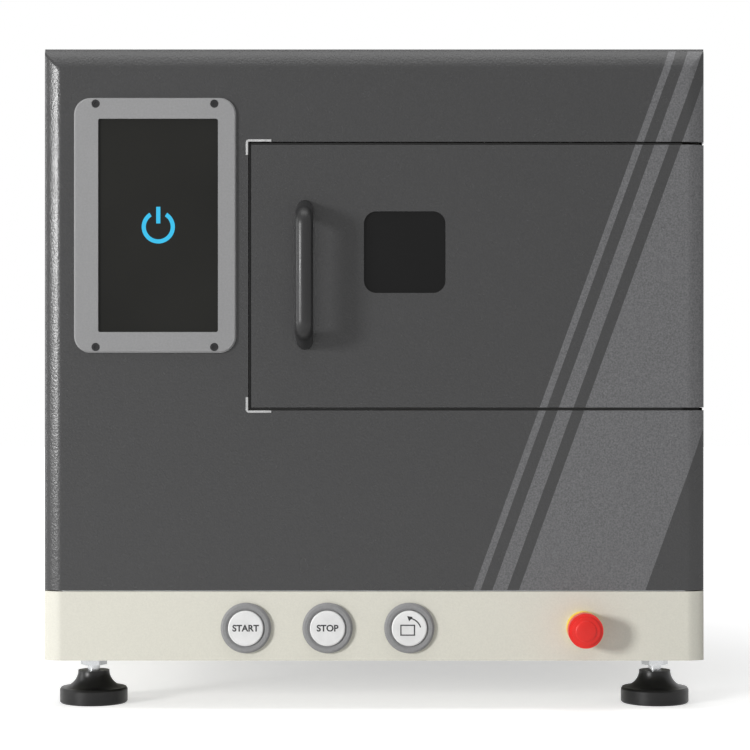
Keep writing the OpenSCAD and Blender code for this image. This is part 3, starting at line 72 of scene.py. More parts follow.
class Finish:
    """A Principled surface for one material slot, its textures built on Object coordinates."""

    def __init__(self, slot, metallic=0.0, specular=0.5, roughness=0.5):
        self.material = bpy.data.materials.new(slot + "_finish")
        self.material.use_nodes = True
        self.nodes = self.material.node_tree.nodes
        self.links = self.material.node_tree.links
        self.shader = self.nodes["Principled BSDF"]
        self.set("Metallic", metallic)
        self.set("Specular IOR Level", specular)
        self.set("Roughness", roughness)
        self.place = self.nodes.new("ShaderNodeTexCoord").outputs["Object"]
        self.normal = None

    def set(self, socket, value):
        self.shader.inputs[socket].default_value = value

    def join(self, output, socket):
        self.links.new(output, self.shader.inputs[socket])

    def stretched(self, stretch, turn=(0, 0, 0)):
        mapping = self.nodes.new("ShaderNodeMapping")
        mapping.inputs["Scale"].default_value = stretch
        mapping.inputs["Rotation"].default_value = turn
        self.links.new(self.place, mapping.inputs["Vector"])
        return mapping.outputs["Vector"]

    def noise(self, scale, detail=3.0, roughness=0.5, stretch=None):
        node = self.nodes.new("ShaderNodeTexNoise")
        node.inputs["Scale"].default_value = scale
        node.inputs["Detail"].default_value = detail
        node.inputs["Roughness"].default_value = roughness
        place = self.stretched(stretch) if stretch else self.place
        self.links.new(place, node.inputs["Vector"])
        return node.outputs["Fac"]

    def cells(self, scale):
        node = self.nodes.new("ShaderNodeTexVoronoi")
        node.inputs["Scale"].default_value = scale
        self.links.new(self.place, node.inputs["Vector"])
        return node.outputs["Distance"]

    def waves(self, scale, distortion, turn):
        node = self.nodes.new("ShaderNodeTexWave")
        node.inputs["Scale"].default_value = scale
        node.inputs["Distortion"].default_value = distortion
        self.links.new(self.stretched((1, 1, 1), turn), node.inputs["Vector"])
        return node.outputs["Fac"]

    def math(self, operation, first, second):
        node = self.nodes.new("ShaderNodeMath")
        node.operation = operation
        for socket, value in zip(node.inputs, (first, second)):
            if isinstance(value, bpy.types.NodeSocket):
                self.links.new(value, socket)
            else:
                socket.default_value = value
        return node.outputs["Value"]

    def colours(self, factor, *stops):
        """Colour ramp from (place, colour) stops."""
        node = self.nodes.new("ShaderNodeValToRGB")
        ramp = node.color_ramp
        while len(ramp.elements) < len(stops):
            ramp.elements.new(0.5)
        for element, (place, colour) in zip(ramp.elements, stops):
            element.position = place
            element.color = (*colour, 1)
        self.links.new(factor, node.inputs["Fac"])
        return node.outputs["Color"]

    def ranged(self, factor, low, high, from_low=0.3, from_high=0.7):
        node = self.nodes.new("ShaderNodeMapRange")
        limits = {"From Min": from_low, "From Max": from_high, "To Min": low, "To Max": high}
        for socket, value in limits.items():
            node.inputs[socket].default_value = value
        self.links.new(factor, node.inputs["Value"])
        return node.outputs["Result"]

    def mixed(self, factor, first, second):
        """Colour mix: inputs 6 and 7 are its colours A and B, output 2 the mixed colour."""
        node = self.nodes.new("ShaderNodeMix")
        node.data_type = "RGBA"
        self.links.new(factor, node.inputs[0])
        self.links.new(first, node.inputs[6])
        self.links.new(second, node.inputs[7])
        return node.outputs[2]

    def bump(self, height, depth):
        node = self.nodes.new("ShaderNodeBump")
        node.inputs["Strength"].default_value = 1.0
        node.inputs["Distance"].default_value = depth
        self.links.new(height, node.inputs["Height"])
        if self.normal:
            self.links.new(self.normal, node.inputs["Normal"])
        self.normal = node.outputs["Normal"]
        self.join(self.normal, "Normal")

    def tint(self, factor, colour, dark, light, low=0.3, high=0.7):
        """Base colour that runs from a darker to a lighter share of one colour."""
        shades = self.colours(factor, (low, scaled(colour, dark)), (high, scaled(colour, light)))
        self.join(shades, "Base Color")

    def gloss(self, factor, low, high):
        self.join(self.ranged(factor, low, high), "Roughness")


def scaled(colour, factor):
    return tuple(min(1.0, c * factor) for c in colour)


def powder_coat(slot, colour, spread=0.09, graphic=None, roughness=0.26, specular=0.40,
                peel=0.00017):
    """Fine orange-peel paint; a graphic colour adds the slanted bands on the front."""
    finish = Finish(slot, specular=specular)
    speckle = finish.noise(900, 2.0)
    shades = finish.colours(speckle, (0.3, scaled(colour, 1 - spread)),
                            (0.7, scaled(colour, 1 + spread)))
    if graphic:
        grain = finish.noise(800, 3.0, 0.6)
        light = finish.colours(grain, (0.32, scaled(graphic, 0.70)), (0.68, scaled(graphic, 1.30)))
        shades = finish.mixed(slanted_bands(finish), shades, light)
    finish.join(shades, "Base Color")
    finish.gloss(finish.noise(60, 2.0), roughness - 0.015, roughness + 0.02)
    finish.bump(finish.noise(640, 2.0, 0.55), peel)
    finish.bump(finish.noise(1300, 2.0), peel / 5)
    return finish.material


# Bands of lighter paint: the angle that they climb at, where each starts and ends across that
# line, and how far behind the front plane they go on round the right edge
BAND_CLIMB = math.radians(70)
BANDS = ((0.064, 0.150), (0.046, 0.056), (0.033, 0.038))
BAND_DEPTH = 0.0066


def slanted_bands(finish):
    """One broad and two narrow bands that lean to the right, on the front and its right edge."""
    split = finish.nodes.new("ShaderNodeSeparateXYZ")
    finish.links.new(finish.place, split.inputs["Vector"])
    right = finish.math("MULTIPLY", split.outputs["X"], math.sin(BAND_CLIMB))
    up = finish.math("MULTIPLY", split.outputs["Z"], math.cos(BAND_CLIMB))
    across = finish.math("SUBTRACT", right, up)
    mask = None
    for low, high in BANDS:
        band = finish.math("MULTIPLY", finish.math("GREATER_THAN", across, low),
                           finish.math("LESS_THAN", across, high))
        mask = finish.math("MAXIMUM", mask, band) if mask else band
    front = finish.math("LESS_THAN", split.outputs["Y"], FACE_Y + BAND_DEPTH)
    return finish.math("MULTIPLY", mask, front)


def moulded(slot, colour, roughness=0.4, specular=0.5, grain=0.00002):
    """Moulded plastic or rubber with a faint grain and uneven gloss."""
    finish = Finish(slot, specular=specular)
    finish.tint(finish.noise(90, 3.0), colour, 0.93, 1.07)
    finish.gloss(finish.noise(300, 3.0), roughness - 0.04, roughness + 0.06)
    finish.bump(finish.noise(2400, 2.0), grain)
    return finish.material


def satin_paint(slot, colour, roughness=0.4, specular=0.5):
    """Smooth satin paint with fine dust in it."""
    finish = Finish(slot, specular=specular)
    finish.tint(finish.noise(700, 3.0), colour, 0.95, 1.05)
    finish.gloss(finish.noise(80, 3.0), roughness - 0.04, roughness + 0.05)
    finish.bump(finish.noise(1100, 2.0), 0.00003)
    return finish.material


def brushed(slot, colour, roughness, stretch=(1, 1, 0.025), tint=None):
    """Sheet metal with drawn streaks; a tint colours some of it as heat or zinc does."""
    finish = Finish(slot, metallic=1.0)
    streaks = finish.noise(900, 4.0, 0.6, stretch)
    shades = finish.colours(streaks, (0.25, scaled(colour, 0.82)), (0.75, scaled(colour, 1.12)))
    if tint:
        patches = finish.colours(finish.noise(14, 3.0), (0.42, (0, 0, 0)), (0.62, (0.8, 0.8, 0.8)))
        tinted = finish.colours(streaks, (0.25, scaled(tint, 0.85)), (0.75, scaled(tint, 1.1)))
        shades = finish.mixed(patches, shades, tinted)
    finish.join(shades, "Base Color")
    finish.gloss(streaks, roughness - 0.08, roughness + 0.1)
    finish.bump(streaks, 0.00001)
    return finish.material


def turned_metal(slot, colour):
    """Machined metal with fine tool marks along Y, as a lathe leaves them."""
    finish = Finish(slot, metallic=1.0)
    marks = finish.noise(1600, 3.0, 0.6, (0.05, 1.0, 0.05))
    finish.tint(marks, colour, 0.85, 1.1)
    finish.gloss(finish.noise(120, 3.0), 0.22, 0.38)
    finish.bump(marks, 0.00001)
    return finish.material


def fibre(slot, colour):
    """Pressed ceramic fibre: pale, matt and a little fluffy."""
    finish = Finish(slot, specular=0.2, roughness=0.95)
    tufts = finish.noise(260, 6.0, 0.7)
    finish.tint(tufts, colour, 0.86, 1.05)
    finish.bump(tufts, 0.0006)
    finish.bump(finish.noise(1400, 4.0, 0.7), 0.0002)
    finish.set("Sheen Weight", 0.2)
    return finish.material


def fired_ceramic(slot, colour):
    """Machined ceramic board with small pits and scorch near the heat."""
    finish = Finish(slot, specular=0.35, roughness=0.75)
    red, green, blue = colour
    scorched = (red * 0.8, green * 0.7, blue * 0.56)
    shades = finish.colours(finish.noise(30, 4.0), (0.35, scaled(colour, 1.05)), (0.62, colour),
                            (0.8, scorched))
    finish.join(shades, "Base Color")
    finish.bump(finish.cells(900), 0.00012)
    return finish.material


def woven_glass(slot, colour):
    """Glass tape: two crossing strands in the height and the colour."""
    finish = Finish(slot, specular=0.3, roughness=0.85)
    strands = finish.math("MAXIMUM", finish.waves(150, 0.6, (0, math.radians(35), 0)),
                          finish.waves(150, 0.6, (0, math.radians(-35), 0)))
    finish.tint(strands, colour, 0.6, 1.1, 0.2, 0.8)
    finish.bump(strands, 0.0004)
    finish.set("Sheen Weight", 0.3)
    return finish.material


def dark_glass(slot, colour, specular):
    """Tinted glass that hides what is behind it, with a trace of smears in its gloss."""
    finish = Finish(slot, specular=specular)
    finish.tint(finish.noise(9, 2.0), colour, 0.85, 1.15)
    finish.gloss(finish.noise(40, 4.0), 0.09, 0.17)
    return finish.material


def graphite_block(slot, colour):
    """Machined graphite: dark, soft sheen, rubbed lighter in patches."""
    finish = Finish(slot, specular=0.5, metallic=0.35)
    rubbed = finish.noise(70, 5.0, 0.65)
    finish.tint(rubbed, colour, 0.75, 1.6, 0.35, 0.7)
    finish.gloss(rubbed, 0.62, 0.4)
    finish.bump(finish.noise(1300, 3.0), 0.00005)
    return finish.material


def copper_tube(slot, colour):
    """Drawn copper with heat stains."""
    finish = Finish(slot, metallic=1.0)
    stains = finish.noise(55, 4.0, 0.6)
    red, green, blue = colour
    stained = (red * 0.6, green * 0.42, blue * 0.45)
    shades = finish.colours(stains, (0.35, scaled(colour, 1.15)), (0.6, colour), (0.78, stained))
    finish.join(shades, "Base Color")
    finish.gloss(stains, 0.24, 0.46)
    finish.bump(finish.noise(1500, 2.0), 0.00001)
    return finish.material


def lit_symbol(slot, colour, strength):
    """Glowing mark of the display, a little uneven as backlit film is."""
    finish = Finish(slot, specular=0.1, roughness=0.4)
    finish.set("Base Color", (0.01, 0.01, 0.01, 1))
    glow = finish.colours(finish.noise(160, 2.0), (0.3, scaled(colour, 0.96)), (0.7, colour))
    finish.join(glow, "Emission Color")
    finish.set("Emission Strength", strength)
    return finish.material


finishes = {
    "dark_coat": powder_coat("dark_coat", (0.0405, 0.0405, 0.0412), graphic=(0.122, 0.122, 0.126)),
    "cover_coat": powder_coat("cover_coat", (0.039, 0.039, 0.0395)),
    "cream_coat": powder_coat("cream_coat", (0.68, 0.665, 0.585), spread=0.03, roughness=0.5,
                              peel=0.00010),
    "zinc_steel": brushed("zinc_steel", (0.52, 0.53, 0.54), 0.42, tint=(0.45, 0.47, 0.44)),
    "black_steel": satin_paint("black_steel", (0.010, 0.010, 0.011), 0.44, specular=0.3),
    "bright_trim": brushed("bright_trim", (0.36, 0.36, 0.36), 0.5),
    "stainless": brushed("stainless", (0.50, 0.49, 0.47), 0.36, tint=(0.42, 0.36, 0.27)),
    "ceramic_fibre": fibre("ceramic_fibre", (0.80, 0.78, 0.72)),
    "rope_seal": woven_glass("rope_seal", (0.58, 0.54, 0.45)),
    "bezel_grey": satin_paint("bezel_grey", (0.262, 0.262, 0.265), 0.6, specular=0.3),
    "screen_glass": dark_glass("screen_glass", (0.013, 0.013, 0.0115), specular=0.15),
    "heat_sink": brushed("heat_sink", (0.30, 0.31, 0.32), 0.42),
    "black_plastic": moulded("black_plastic", (0.016, 0.016, 0.017), 0.48),
    "yellow_plastic": moulded("yellow_plastic", (0.86, 0.60, 0.04), 0.34),
    "red_plastic": moulded("red_plastic", (0.76, 0.022, 0.016), 0.32, specular=0.35),
    "white_plastic": moulded("white_plastic", (0.75, 0.75, 0.745), 0.42),
    "turned_steel": turned_metal("turned_steel", (0.50, 0.51, 0.52)),
    "bronze": turned_metal("bronze", (0.60, 0.40, 0.17)),
    "motor_grey": satin_paint("motor_grey", (0.09, 0.10, 0.11)),
    "window_glass": dark_glass("window_glass", (0.008, 0.008, 0.008), specular=0.14),
    "window_black": satin_paint("window_black", (0.012, 0.012, 0.012), 0.6, specular=0.3),
    "handle_black": satin_paint("handle_black", (0.020, 0.020, 0.0205), 0.32, specular=0.32),
    "ceramic_board": fired_ceramic("ceramic_board", (0.72, 0.67, 0.56)),
    "copper": copper_tube("copper", (0.72, 0.34, 0.18)),
    "graphite": graphite_block("graphite", (0.050, 0.050, 0.054)),
    "pad_rubber": moulded("pad_rubber", (0.004, 0.004, 0.004), 0.34, specular=0.35,
                          grain=0.000012),
    "plated_steel": brushed("plated_steel", (0.55, 0.56, 0.57), 0.24, stretch=(0.25, 0.25, 0.25)),
}
symbol_cyan = lit_symbol("symbol_cyan", (0.04, 0.57, 0.91), 0.95)
mark_ink = satin_paint("mark_ink", (0.045, 0.045, 0.047), 0.5, specular=0.3)


def slot_name(node):
    material = NODES[node].material_slots[0].material
    return material.name.split(".")[0]


SLOTS = {name: slot_name(name) for name in NODES}
for name, solid in NODES.items():
    for material_slot in solid.material_slots:
        material_slot.material = finishes[SLOTS[name]]


# How pieces are made


def body_of_node(node):
    for body, members in frame["record"]["behaviour"]["bodies"].items():
        if node in members:
            return body


def add_piece(name, mesh, body, slot, material=None):
    piece = bpy.data.objects.new(name, mesh)
    bpy.context.scene.collection.objects.link(piece)
    mesh.materials.clear()
    mesh.materials.append(material or finishes[slot])
    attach(piece, body)
    return piece


def shade_smooth(mesh, sharp_degrees):
    """Smooth shading, with edges that turn by more than an angle kept sharp."""
    mesh.polygons.foreach_set("use_smooth", [True] * len(mesh.polygons))
    mesh.set_sharp_from_angle(angle=math.radians(sharp_degrees))


def keep_flats(piece):
    """Normals that lean to the large faces, so flats stay flat beside rounded edges."""
    modifier = piece.modifiers.new("flat_faces", "WEIGHTED_NORMAL")
    modifier.keep_sharp = True
    modifier.weight = 100


def mesh_of(shape, name):
    bmesh.ops.recalc_face_normals(shape, faces=shape.faces)
    mesh = bpy.data.meshes.new(name)
    shape.to_mesh(mesh)
    shape.free()
    return mesh


def mesh_of_curve(curve):
    """The solid form of a curve or of lettering, under the curve's own name."""
    holder = bpy.data.objects.new(curve.name + "_curve", curve)
    bpy.context.scene.collection.objects.link(holder)
    bpy.context.view_layer.update()
    evaluated = holder.evaluated_get(bpy.context.evaluated_depsgraph_get())
    mesh = bpy.data.meshes.new_from_object(evaluated)
    bpy.data.objects.remove(holder)
    mesh.name = curve.name
    return mesh


def sharp_edges(shape, degrees, chosen=None):
    angle = math.radians(degrees)
    return [e for e in shape.edges if len(e.link_faces) == 2 and e.calc_face_angle() > angle
            and (chosen is None or chosen(e))]


def round_edges(shape, edges, width, segments=3):
    bmesh.ops.bevel(shape, geom=edges, offset=width, offset_type="OFFSET", segments=segments,
                    profile=0.5, affect="EDGES", material=-1, clamp_overlap=True)


SHARP = 35
SAME_PLACE = 1e-6
FLAT = math.radians(0.5)
CORNER_SEGMENTS = 5


def softened(node, width, corners=None, corner_width=0.0, folds=()):
    """A copy of a CAD node with its sharp edges rounded, which then stands for the node."""
    shape = bmesh.new()
    shape.from_mesh(NODES[node].data)
    bmesh.ops.remove_doubles(shape, verts=shape.verts, dist=SAME_PLACE)
    bmesh.ops.dissolve_limit(shape, angle_limit=FLAT, verts=shape.verts, edges=shape.edges)
    if corners:
        round_edges(shape, sharp_edges(shape, SHARP, corners), corner_width, CORNER_SEGMENTS)
    round_edges(shape, sharp_edges(shape, SHARP), width)
    if folds:
        fold_front_edges(shape, folds)
    mesh = bpy.data.meshes.new(node + "_rounded")
    shape.to_mesh(mesh)
    shape.free()
    piece = add_piece(node + "_rounded", mesh, body_of_node(node), SLOTS[node])
    shade_smooth(mesh, 50)
    keep_flats(piece)
    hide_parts(node)


def flat_bar(shape, centre, width, height, thickness):
    size = Matrix.Diagonal((width, thickness, height, 1))
    bmesh.ops.create_cube(shape, size=1.0, matrix=Matrix.Translation(centre) @ size)


def facing(angle):
    """A unit vector in the front plane, turned up from the right."""
    return Vector((math.cos(angle), 0, math.sin(angle)))


def open_ring(shape, centre, radius, width, start, end, steps, thickness):
    """Part of a flat ring that faces the front, spun from its first end."""
    corners = [shape.verts.new(centre + facing(start) * (radius + side * width / 2)
                               + Vector((0, depth * thickness / 2, 0)))
               for side, depth in ((-1, -1), (1, -1), (1, 1), (-1, 1))]
    first_end = shape.faces.new(corners)
    bmesh.ops.spin(shape, geom=[first_end], cent=centre, axis=(0, -1, 0), angle=end - start,
                   steps=steps, use_merge=False, use_duplicate=False)


def swept(name, places, body, slot, sides, replaced):
    """A round bar along a line of places, each with its own radius, which stands for a node."""
    curve = bpy.data.curves.new(name, "CURVE")
    curve.dimensions = "3D"
    curve.bevel_depth = 1.0
    curve.bevel_resolution = sides
    curve.use_fill_caps = True
    spline = curve.splines.new("POLY")
    spline.points.add(len(places) - 1)
    for point, (place, radius) in zip(spline.points, places):
        point.co = (*place, 1)
        point.radius = radius
    mesh = mesh_of_curve(curve)
    shade_smooth(mesh, 60)
    piece = add_piece(name, mesh, body, slot)
    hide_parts(replaced)


LATHE_STEPS = 64


def lathed(name, centre, profile, body, slot):
    """A round piece that faces the front, spun from (radius, depth) places."""
    shape = bmesh.new()
    verts = [shape.verts.new(centre + Vector((radius, depth, 0))) for radius, depth in profile]
    edges = [shape.edges.new(pair) for pair in zip(verts, verts[1:])]
    bmesh.ops.spin(shape, geom=verts + edges, cent=centre, axis=(0, 1, 0), angle=2 * math.pi,
                   steps=LATHE_STEPS, use_merge=True, use_duplicate=False)
    bmesh.ops.remove_doubles(shape, verts=shape.verts, dist=SAME_PLACE)
    mesh = mesh_of(shape, name)
    shade_smooth(mesh, 40)
    add_piece(name, mesh, body, slot)


# The casing's front edges: a flat bevel in the solids, a soft fold of the sheet here.
# A leg is how far a bevel reaches over the front, and FOLD_DEPTH how far back it reaches.
FOLD_DEPTH = 14 * MM
SIDE_LEG = 14 * MM
TOP_LEG = 18 * MM
SOLID_ROUND = 4 * MM
FOLD_SPREAD = 15 / 14
FOLD_SLOPES = {SIDE_LEG: 0.35, TOP_LEG: 0.42}
FOLD_STRIPS = 15
LIP_DEPTH = 2.6 * MM
LIP_POWER = 5
TURN_START = 0.6
SKIN_DEPTH = 1.3 * MM
# Nearer to the side or top plane than this, the solids' own rounded edge begins
EDGE_START = SOLID_ROUND * (1 - math.cos(math.radians(45)))
# Each fold: its axis, its plane, the direction into the front, its leg
SIDE_FOLDS = (("x", shell_low.x, 1, SIDE_LEG), ("x", shell_high.x, -1, SIDE_LEG))
TOP_FOLD = (("z", shell_high.z, -1, TOP_LEG),)


def flat_bevel(distance, leg):
    """Depth of the solids' skin behind the front plane, by distance from the side or top plane."""
    slope = FOLD_DEPTH / leg
    angle = math.atan(slope)
    tangent = SOLID_ROUND * math.tan(angle / 2)
    if distance >= leg + tangent:
        return 0.0
    if distance > leg - tangent * math.cos(angle):
        return SOLID_ROUND - math.sqrt(SOLID_ROUND ** 2 - (leg + tangent - distance) ** 2)
    return slope * (leg - distance)


def soft_fold(distance, leg):
    """The same depth on the folded sheet: a lip, a shallow slope, then a turn to the front.

    In the turn the slope falls to nothing as a smooth step does, and what is summed here is
    that step's integral.
    """
    spread = leg * FOLD_SPREAD
    along = min(1.0, distance / spread)
    turn = 1 - TURN_START
    turned = max(0.0, along - TURN_START) / turn
    straight = max(0.0, TURN_START - along)
    curved = turn * (0.5 - turned + turned ** 3 - turned ** 4 / 2)
    lip = LIP_DEPTH * (1 - along) ** LIP_POWER
    return FOLD_SLOPES[leg] * spread * (straight + curved) + lip


def cut_across(shape, axis, place):
    """Cuts the faces near the front along a plane."""
    near = [f for f in shape.faces if f.calc_center_median().y < FACE_Y + 2 * FOLD_DEPTH]
    edges = list({e for f in near for e in f.edges})
    verts = list({v for f in near for v in f.verts})
    if axis == "x":
        point, direction = (place, 0, 0), (1, 0, 0)
    else:
        point, direction = (0, 0, place), (0, 0, 1)
    bmesh.ops.bisect_plane(shape, geom=near + edges + verts, dist=SAME_PLACE, plane_co=point,
                           plane_no=direction)


def fold_front_edges(shape, folds):
    """Cuts the outer skin into strips along its front edges and sets them on the soft fold."""
    for axis, plane, sign, leg in folds:
        for i in range(1, FOLD_STRIPS + 1):
            cut_across(shape, axis, plane + sign * leg * FOLD_SPREAD * i / FOLD_STRIPS)
    for vert in shape.verts:
        distances = [(sign * (getattr(vert.co, axis) - plane), leg)
                     for axis, plane, sign, leg in folds]
        solid = max(flat_bevel(max(d, EDGE_START), leg) for d, leg in distances)
        fold = max(soft_fold(max(d, EDGE_START), leg) for d, leg in distances)
        fade = min(1.0, max(0.0, min(d for d, leg in distances) / EDGE_START))
        if vert.co.y - FACE_Y - solid < SKIN_DEPTH:
            vert.co.y += (fold - solid) * fade


def casing_corner(edge):
    """Edges that run to the back along the casing's top corners."""
    near = 1e-4
    return all(shell_high.z - p.z < near and min(p.x - shell_low.x, shell_high.x - p.x) < near
               for p in (v.co for v in edge.verts))


# Pieces

CORNER_ROUND = 1.8 * MM
softened("front_shell", 0.7 * MM, casing_corner, CORNER_ROUND, SIDE_FOLDS + TOP_FOLD)
softened("side_cover", 0.4 * MM, casing_corner, CORNER_ROUND)
softened("door_skin", 0.7 * MM, folds=SIDE_FOLDS)
softened("base_pan", 0.8 * MM, folds=SIDE_FOLDS)
softened("rear_panel", 0.4 * MM)
softened("corner_trims", 0.2 * MM)
softened("display_bezel", 0.2 * MM)

MARK_RELIEF = 0.00012
LETTER_SIZE = 0.0065
LETTER_WEIGHT = 0.03


def lettering(node, words):
    """A generic word on a button's cap."""
    curve = bpy.data.curves.new(words.lower() + "_lettering", "FONT")
    curve.body = words
    curve.size = LETTER_SIZE
    curve.align_x = "CENTER"
    curve.align_y = "CENTER"
    curve.extrude = MARK_RELIEF / 2
    curve.offset = LETTER_SIZE * LETTER_WEIGHT
    mesh = mesh_of_curve(curve)
    upright = Matrix.Rotation(math.pi / 2, 4, "X")
    mesh.transform(Matrix.Translation(front_middle(node)) @ upright)
    add_piece(mesh.name, mesh, node, "black_plastic", mark_ink)


lettering("start_button", "START")
lettering("stop_button", "STOP")


def pour_pictogram():
    """Tipping crucible in outline under a turning arrow, on the third button."""
    front = front_middle("pour_button")
    line, width, height = 0.0009, 0.0107, 0.0080
    arc_r, arc_start, arc_end, arc_steps = 0.0098, math.radians(18), math.radians(78), 14
    head_size, head_turn = 0.0024, math.radians(170)
    shape = bmesh.new()
    box = front + Vector((-0.0012, 0, -0.0012))
    for side in (-1, 1):
        upright = box + Vector((side * (width - line) / 2, 0, 0))
        flat_bar(shape, upright, line, height, MARK_RELIEF)
    for side in (-1, 1):
        level = box + Vector((0, 0, side * (height - line) / 2))
        flat_bar(shape, level, width - 2 * line, line, MARK_RELIEF)
    centre = front + Vector((-0.0012, 0, -0.0022))
    open_ring(shape, centre, arc_r, line, arc_start, arc_end, arc_steps, MARK_RELIEF)
    head = centre + facing(arc_end) * arc_r + Vector((-0.0006, 0, 0.0001))
    turned = Matrix.Rotation(math.pi / 2, 4, "X") @ Matrix.Rotation(head_turn, 4, "Z")
    bmesh.ops.create_cone(shape, cap_ends=True, segments=3, radius1=head_size, radius2=head_size,
                          depth=MARK_RELIEF, matrix=Matrix.Translation(head) @ turned)
    mesh = mesh_of(shape, "pour_pictogram")
    add_piece("pour_pictogram", mesh, "pour_button", "black_plastic", mark_ink)


pour_pictogram()


def standby_symbol():
    """Plain standby mark in the middle of the display: an open ring with a bar."""
    ring_r, line, bar_height, relief = 0.0105, 0.0030, 0.0120, 0.0001
    ring_start, ring_end, ring_steps = math.radians(122), math.radians(418), 48
    centre = front_middle("display_glass") + Vector((0, 0, -0.001))
    shape = bmesh.new()
    open_ring(shape, centre, ring_r, line, ring_start, ring_end, ring_steps, relief)
    flat_bar(shape, centre + Vector((0, 0, 0.0085)), line, bar_height, relief)
    mesh = mesh_of(shape, "standby_symbol")
    add_piece("standby_symbol", mesh, "cabinet", "screen_glass", symbol_cyan)


standby_symbol()


def coil_tube():
    """Copper tube of the induction coil on the CAD coil's own centre line, round in section."""
    tube_r, turns, steps = 0.00325, 5.5, 48
    low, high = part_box("induction_coil")
    axis = middle("ceramic_sleeve")
    coil_r = (high.x - low.x) / 2 - tube_r
    z_low, z_high = low.z + tube_r, high.z - tube_r
    rise = (z_high - z_low) / turns
    lead_end = axis.y + 2 * tube_r
    points = [(axis.x - coil_r, high.y, z_low), (axis.x - coil_r, lead_end, z_low)]
    for i in range(int(turns * steps) + 1):
        a = math.pi + 2 * math.pi * i / steps
        points.append((axis.x + coil_r * math.cos(a), axis.y + coil_r * math.sin(a),
                       z_low + rise * i / steps))
    points += [(axis.x + coil_r, lead_end, z_high), (axis.x + coil_r, high.y, z_high)]
    swept("coil_tube", [(point, tube_r) for point in points], "carrier", "copper", sides=4,
          replaced="induction_coil")


coil_tube()


def bow_handle():
    """One smooth bar: a straight grip, round bends and slanted legs that taper to the door."""
    low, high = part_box("door_handle")
    centre = middle("door_handle")
    grip_r, leg_r, bend_r = (high.x - low.x) / 2, 5.6 * MM, 8 * MM
    slant = math.radians(15)
    bend_steps, leg_steps = 12, 5
    grip_y = low.y + grip_r
    turn = math.pi / 2 - slant
    half = (high.z - low.z) / 2 - leg_r / math.cos(slant)
    leg_in = grip_y + bend_r * (1 - math.cos(turn))
    leg_l = (high.y - leg_in) / math.cos(slant)
    leg_start = half - leg_l * math.sin(slant)
    grip_half = leg_start - bend_r * math.sin(turn)
    # Upper half as (y, height over the middle, radius)
    upper = [(grip_y, 0.0, grip_r), (grip_y, grip_half * 0.5, grip_r)]
    for i in range(bend_steps + 1):
        a = turn * i / bend_steps
        upper.append((grip_y + bend_r * (1 - math.cos(a)), grip_half + bend_r * math.sin(a),
                      grip_r))
    for i in range(1, leg_steps + 1):
        t = i / leg_steps
        upper.append((leg_in + (high.y - leg_in) * t, half - leg_l * math.sin(slant) * (1 - t),
                      grip_r + (leg_r - grip_r) * t))
    path = [(y, -z, r) for y, z, r in reversed(upper[1:])] + upper
    swept("bow_handle", [((centre.x, y, centre.z + z), r) for y, z, r in path], "door",
          "handle_black", sides=8, replaced="door_handle")


bow_handle()

softened("door_seal", 0.55 * MM)


def stop_face():
    """The slightly domed face in the middle of the red stop button."""
    face_r, rise, sink, arc_steps = 7.6 * MM, 0.75 * MM, 0.4 * MM, 10
    profile = []
    for i in range(arc_steps + 1):
        a = math.radians(90 * i / arc_steps)
        profile.append((face_r * math.sin(a), sink - (rise + sink) * math.cos(a)))
    profile += [(face_r, 2 * sink), (0, 2 * sink)]
    lathed("stop_face", front_middle("estop_head"), profile, "estop_head", "red_plastic")


stop_face()


def door_slit_shade_strip():
    """Painted shade: a black strip set in the gap round the door, on the casing's side of it, so
    that the slit reads dark.
    """
    gap, lip = 2.1 * MM, 1.3 * MM
    front, back = FACE_Y + 3 * MM, FACE_Y + 9 * MM
    left, right = door_low.x - gap / 2, shell_high.x
    low, high = door_low.z - gap / 2, door_high.z + gap / 2
    fold = 1.2 * SIDE_LEG
    bend = FACE_Y + fold
    end = right - 0.6 * MM
    # Each bar as its ends in x, z and y: one down the left gap, then for the lower and the upper
    # gap one over the front, one behind the right edge and one along the right side
    bars = [((left, left), (low, high), (front, back))]
    for z, reach in ((low, -5 * MM), (high, 6 * MM)):
        bars.append(((left, right - fold), (z, z), (front, back)))
        bars.append(((right - 1.5 * fold, end), (z, z + reach), (bend, bend + lip)))
        bars.append(((right - 3.2 * MM, end), (z, z + reach), (bend, door_high.y)))
    shape = bmesh.new()
    for (x0, x1), (z0, z1), (y0, y1) in bars:
        centre = Vector(((x0 + x1) / 2, (y0 + y1) / 2, (z0 + z1) / 2))
        flat_bar(shape, centre, max(x1 - x0, lip), abs(z1 - z0) + lip, y1 - y0)
    round_edges(shape, sharp_edges(shape, 60), 0.15 * MM, 2)
    mesh = mesh_of(shape, "door_slit_shade_strip")
    # The black rubber finish on this strip is painted shade for the door's slit, not a real seal.
    add_piece("door_slit_shade_strip", mesh, "cabinet", "pad_rubber")


door_slit_shade_strip()


# Floor, light and camera

FLOOR_HALF = 6.0
# The floor's own light grows to white away from the object, so its shadow stays near the feet
LIFT_NEAR, LIFT_FAR = 0.52, 1.0
NEAR_REACH, FAR_REACH = 0.25, 1.1
WORLD_FILL, WORLD_SEEN = 0.29, 1.0


def seen_rays(tree):
    """1 for camera, glossy and transmission rays, 0 for the rest."""
    path = tree.nodes.new("ShaderNodeLightPath")
    total = path.outputs["Is Camera Ray"]
    for name in ("Is Glossy Ray", "Is Transmission Ray"):
        either = tree.nodes.new("ShaderNodeMath")
        either.operation = "MAXIMUM"
        tree.links.new(total, either.inputs[0])
        tree.links.new(path.outputs[name], either.inputs[1])
        total = either.outputs["Value"]
    return total


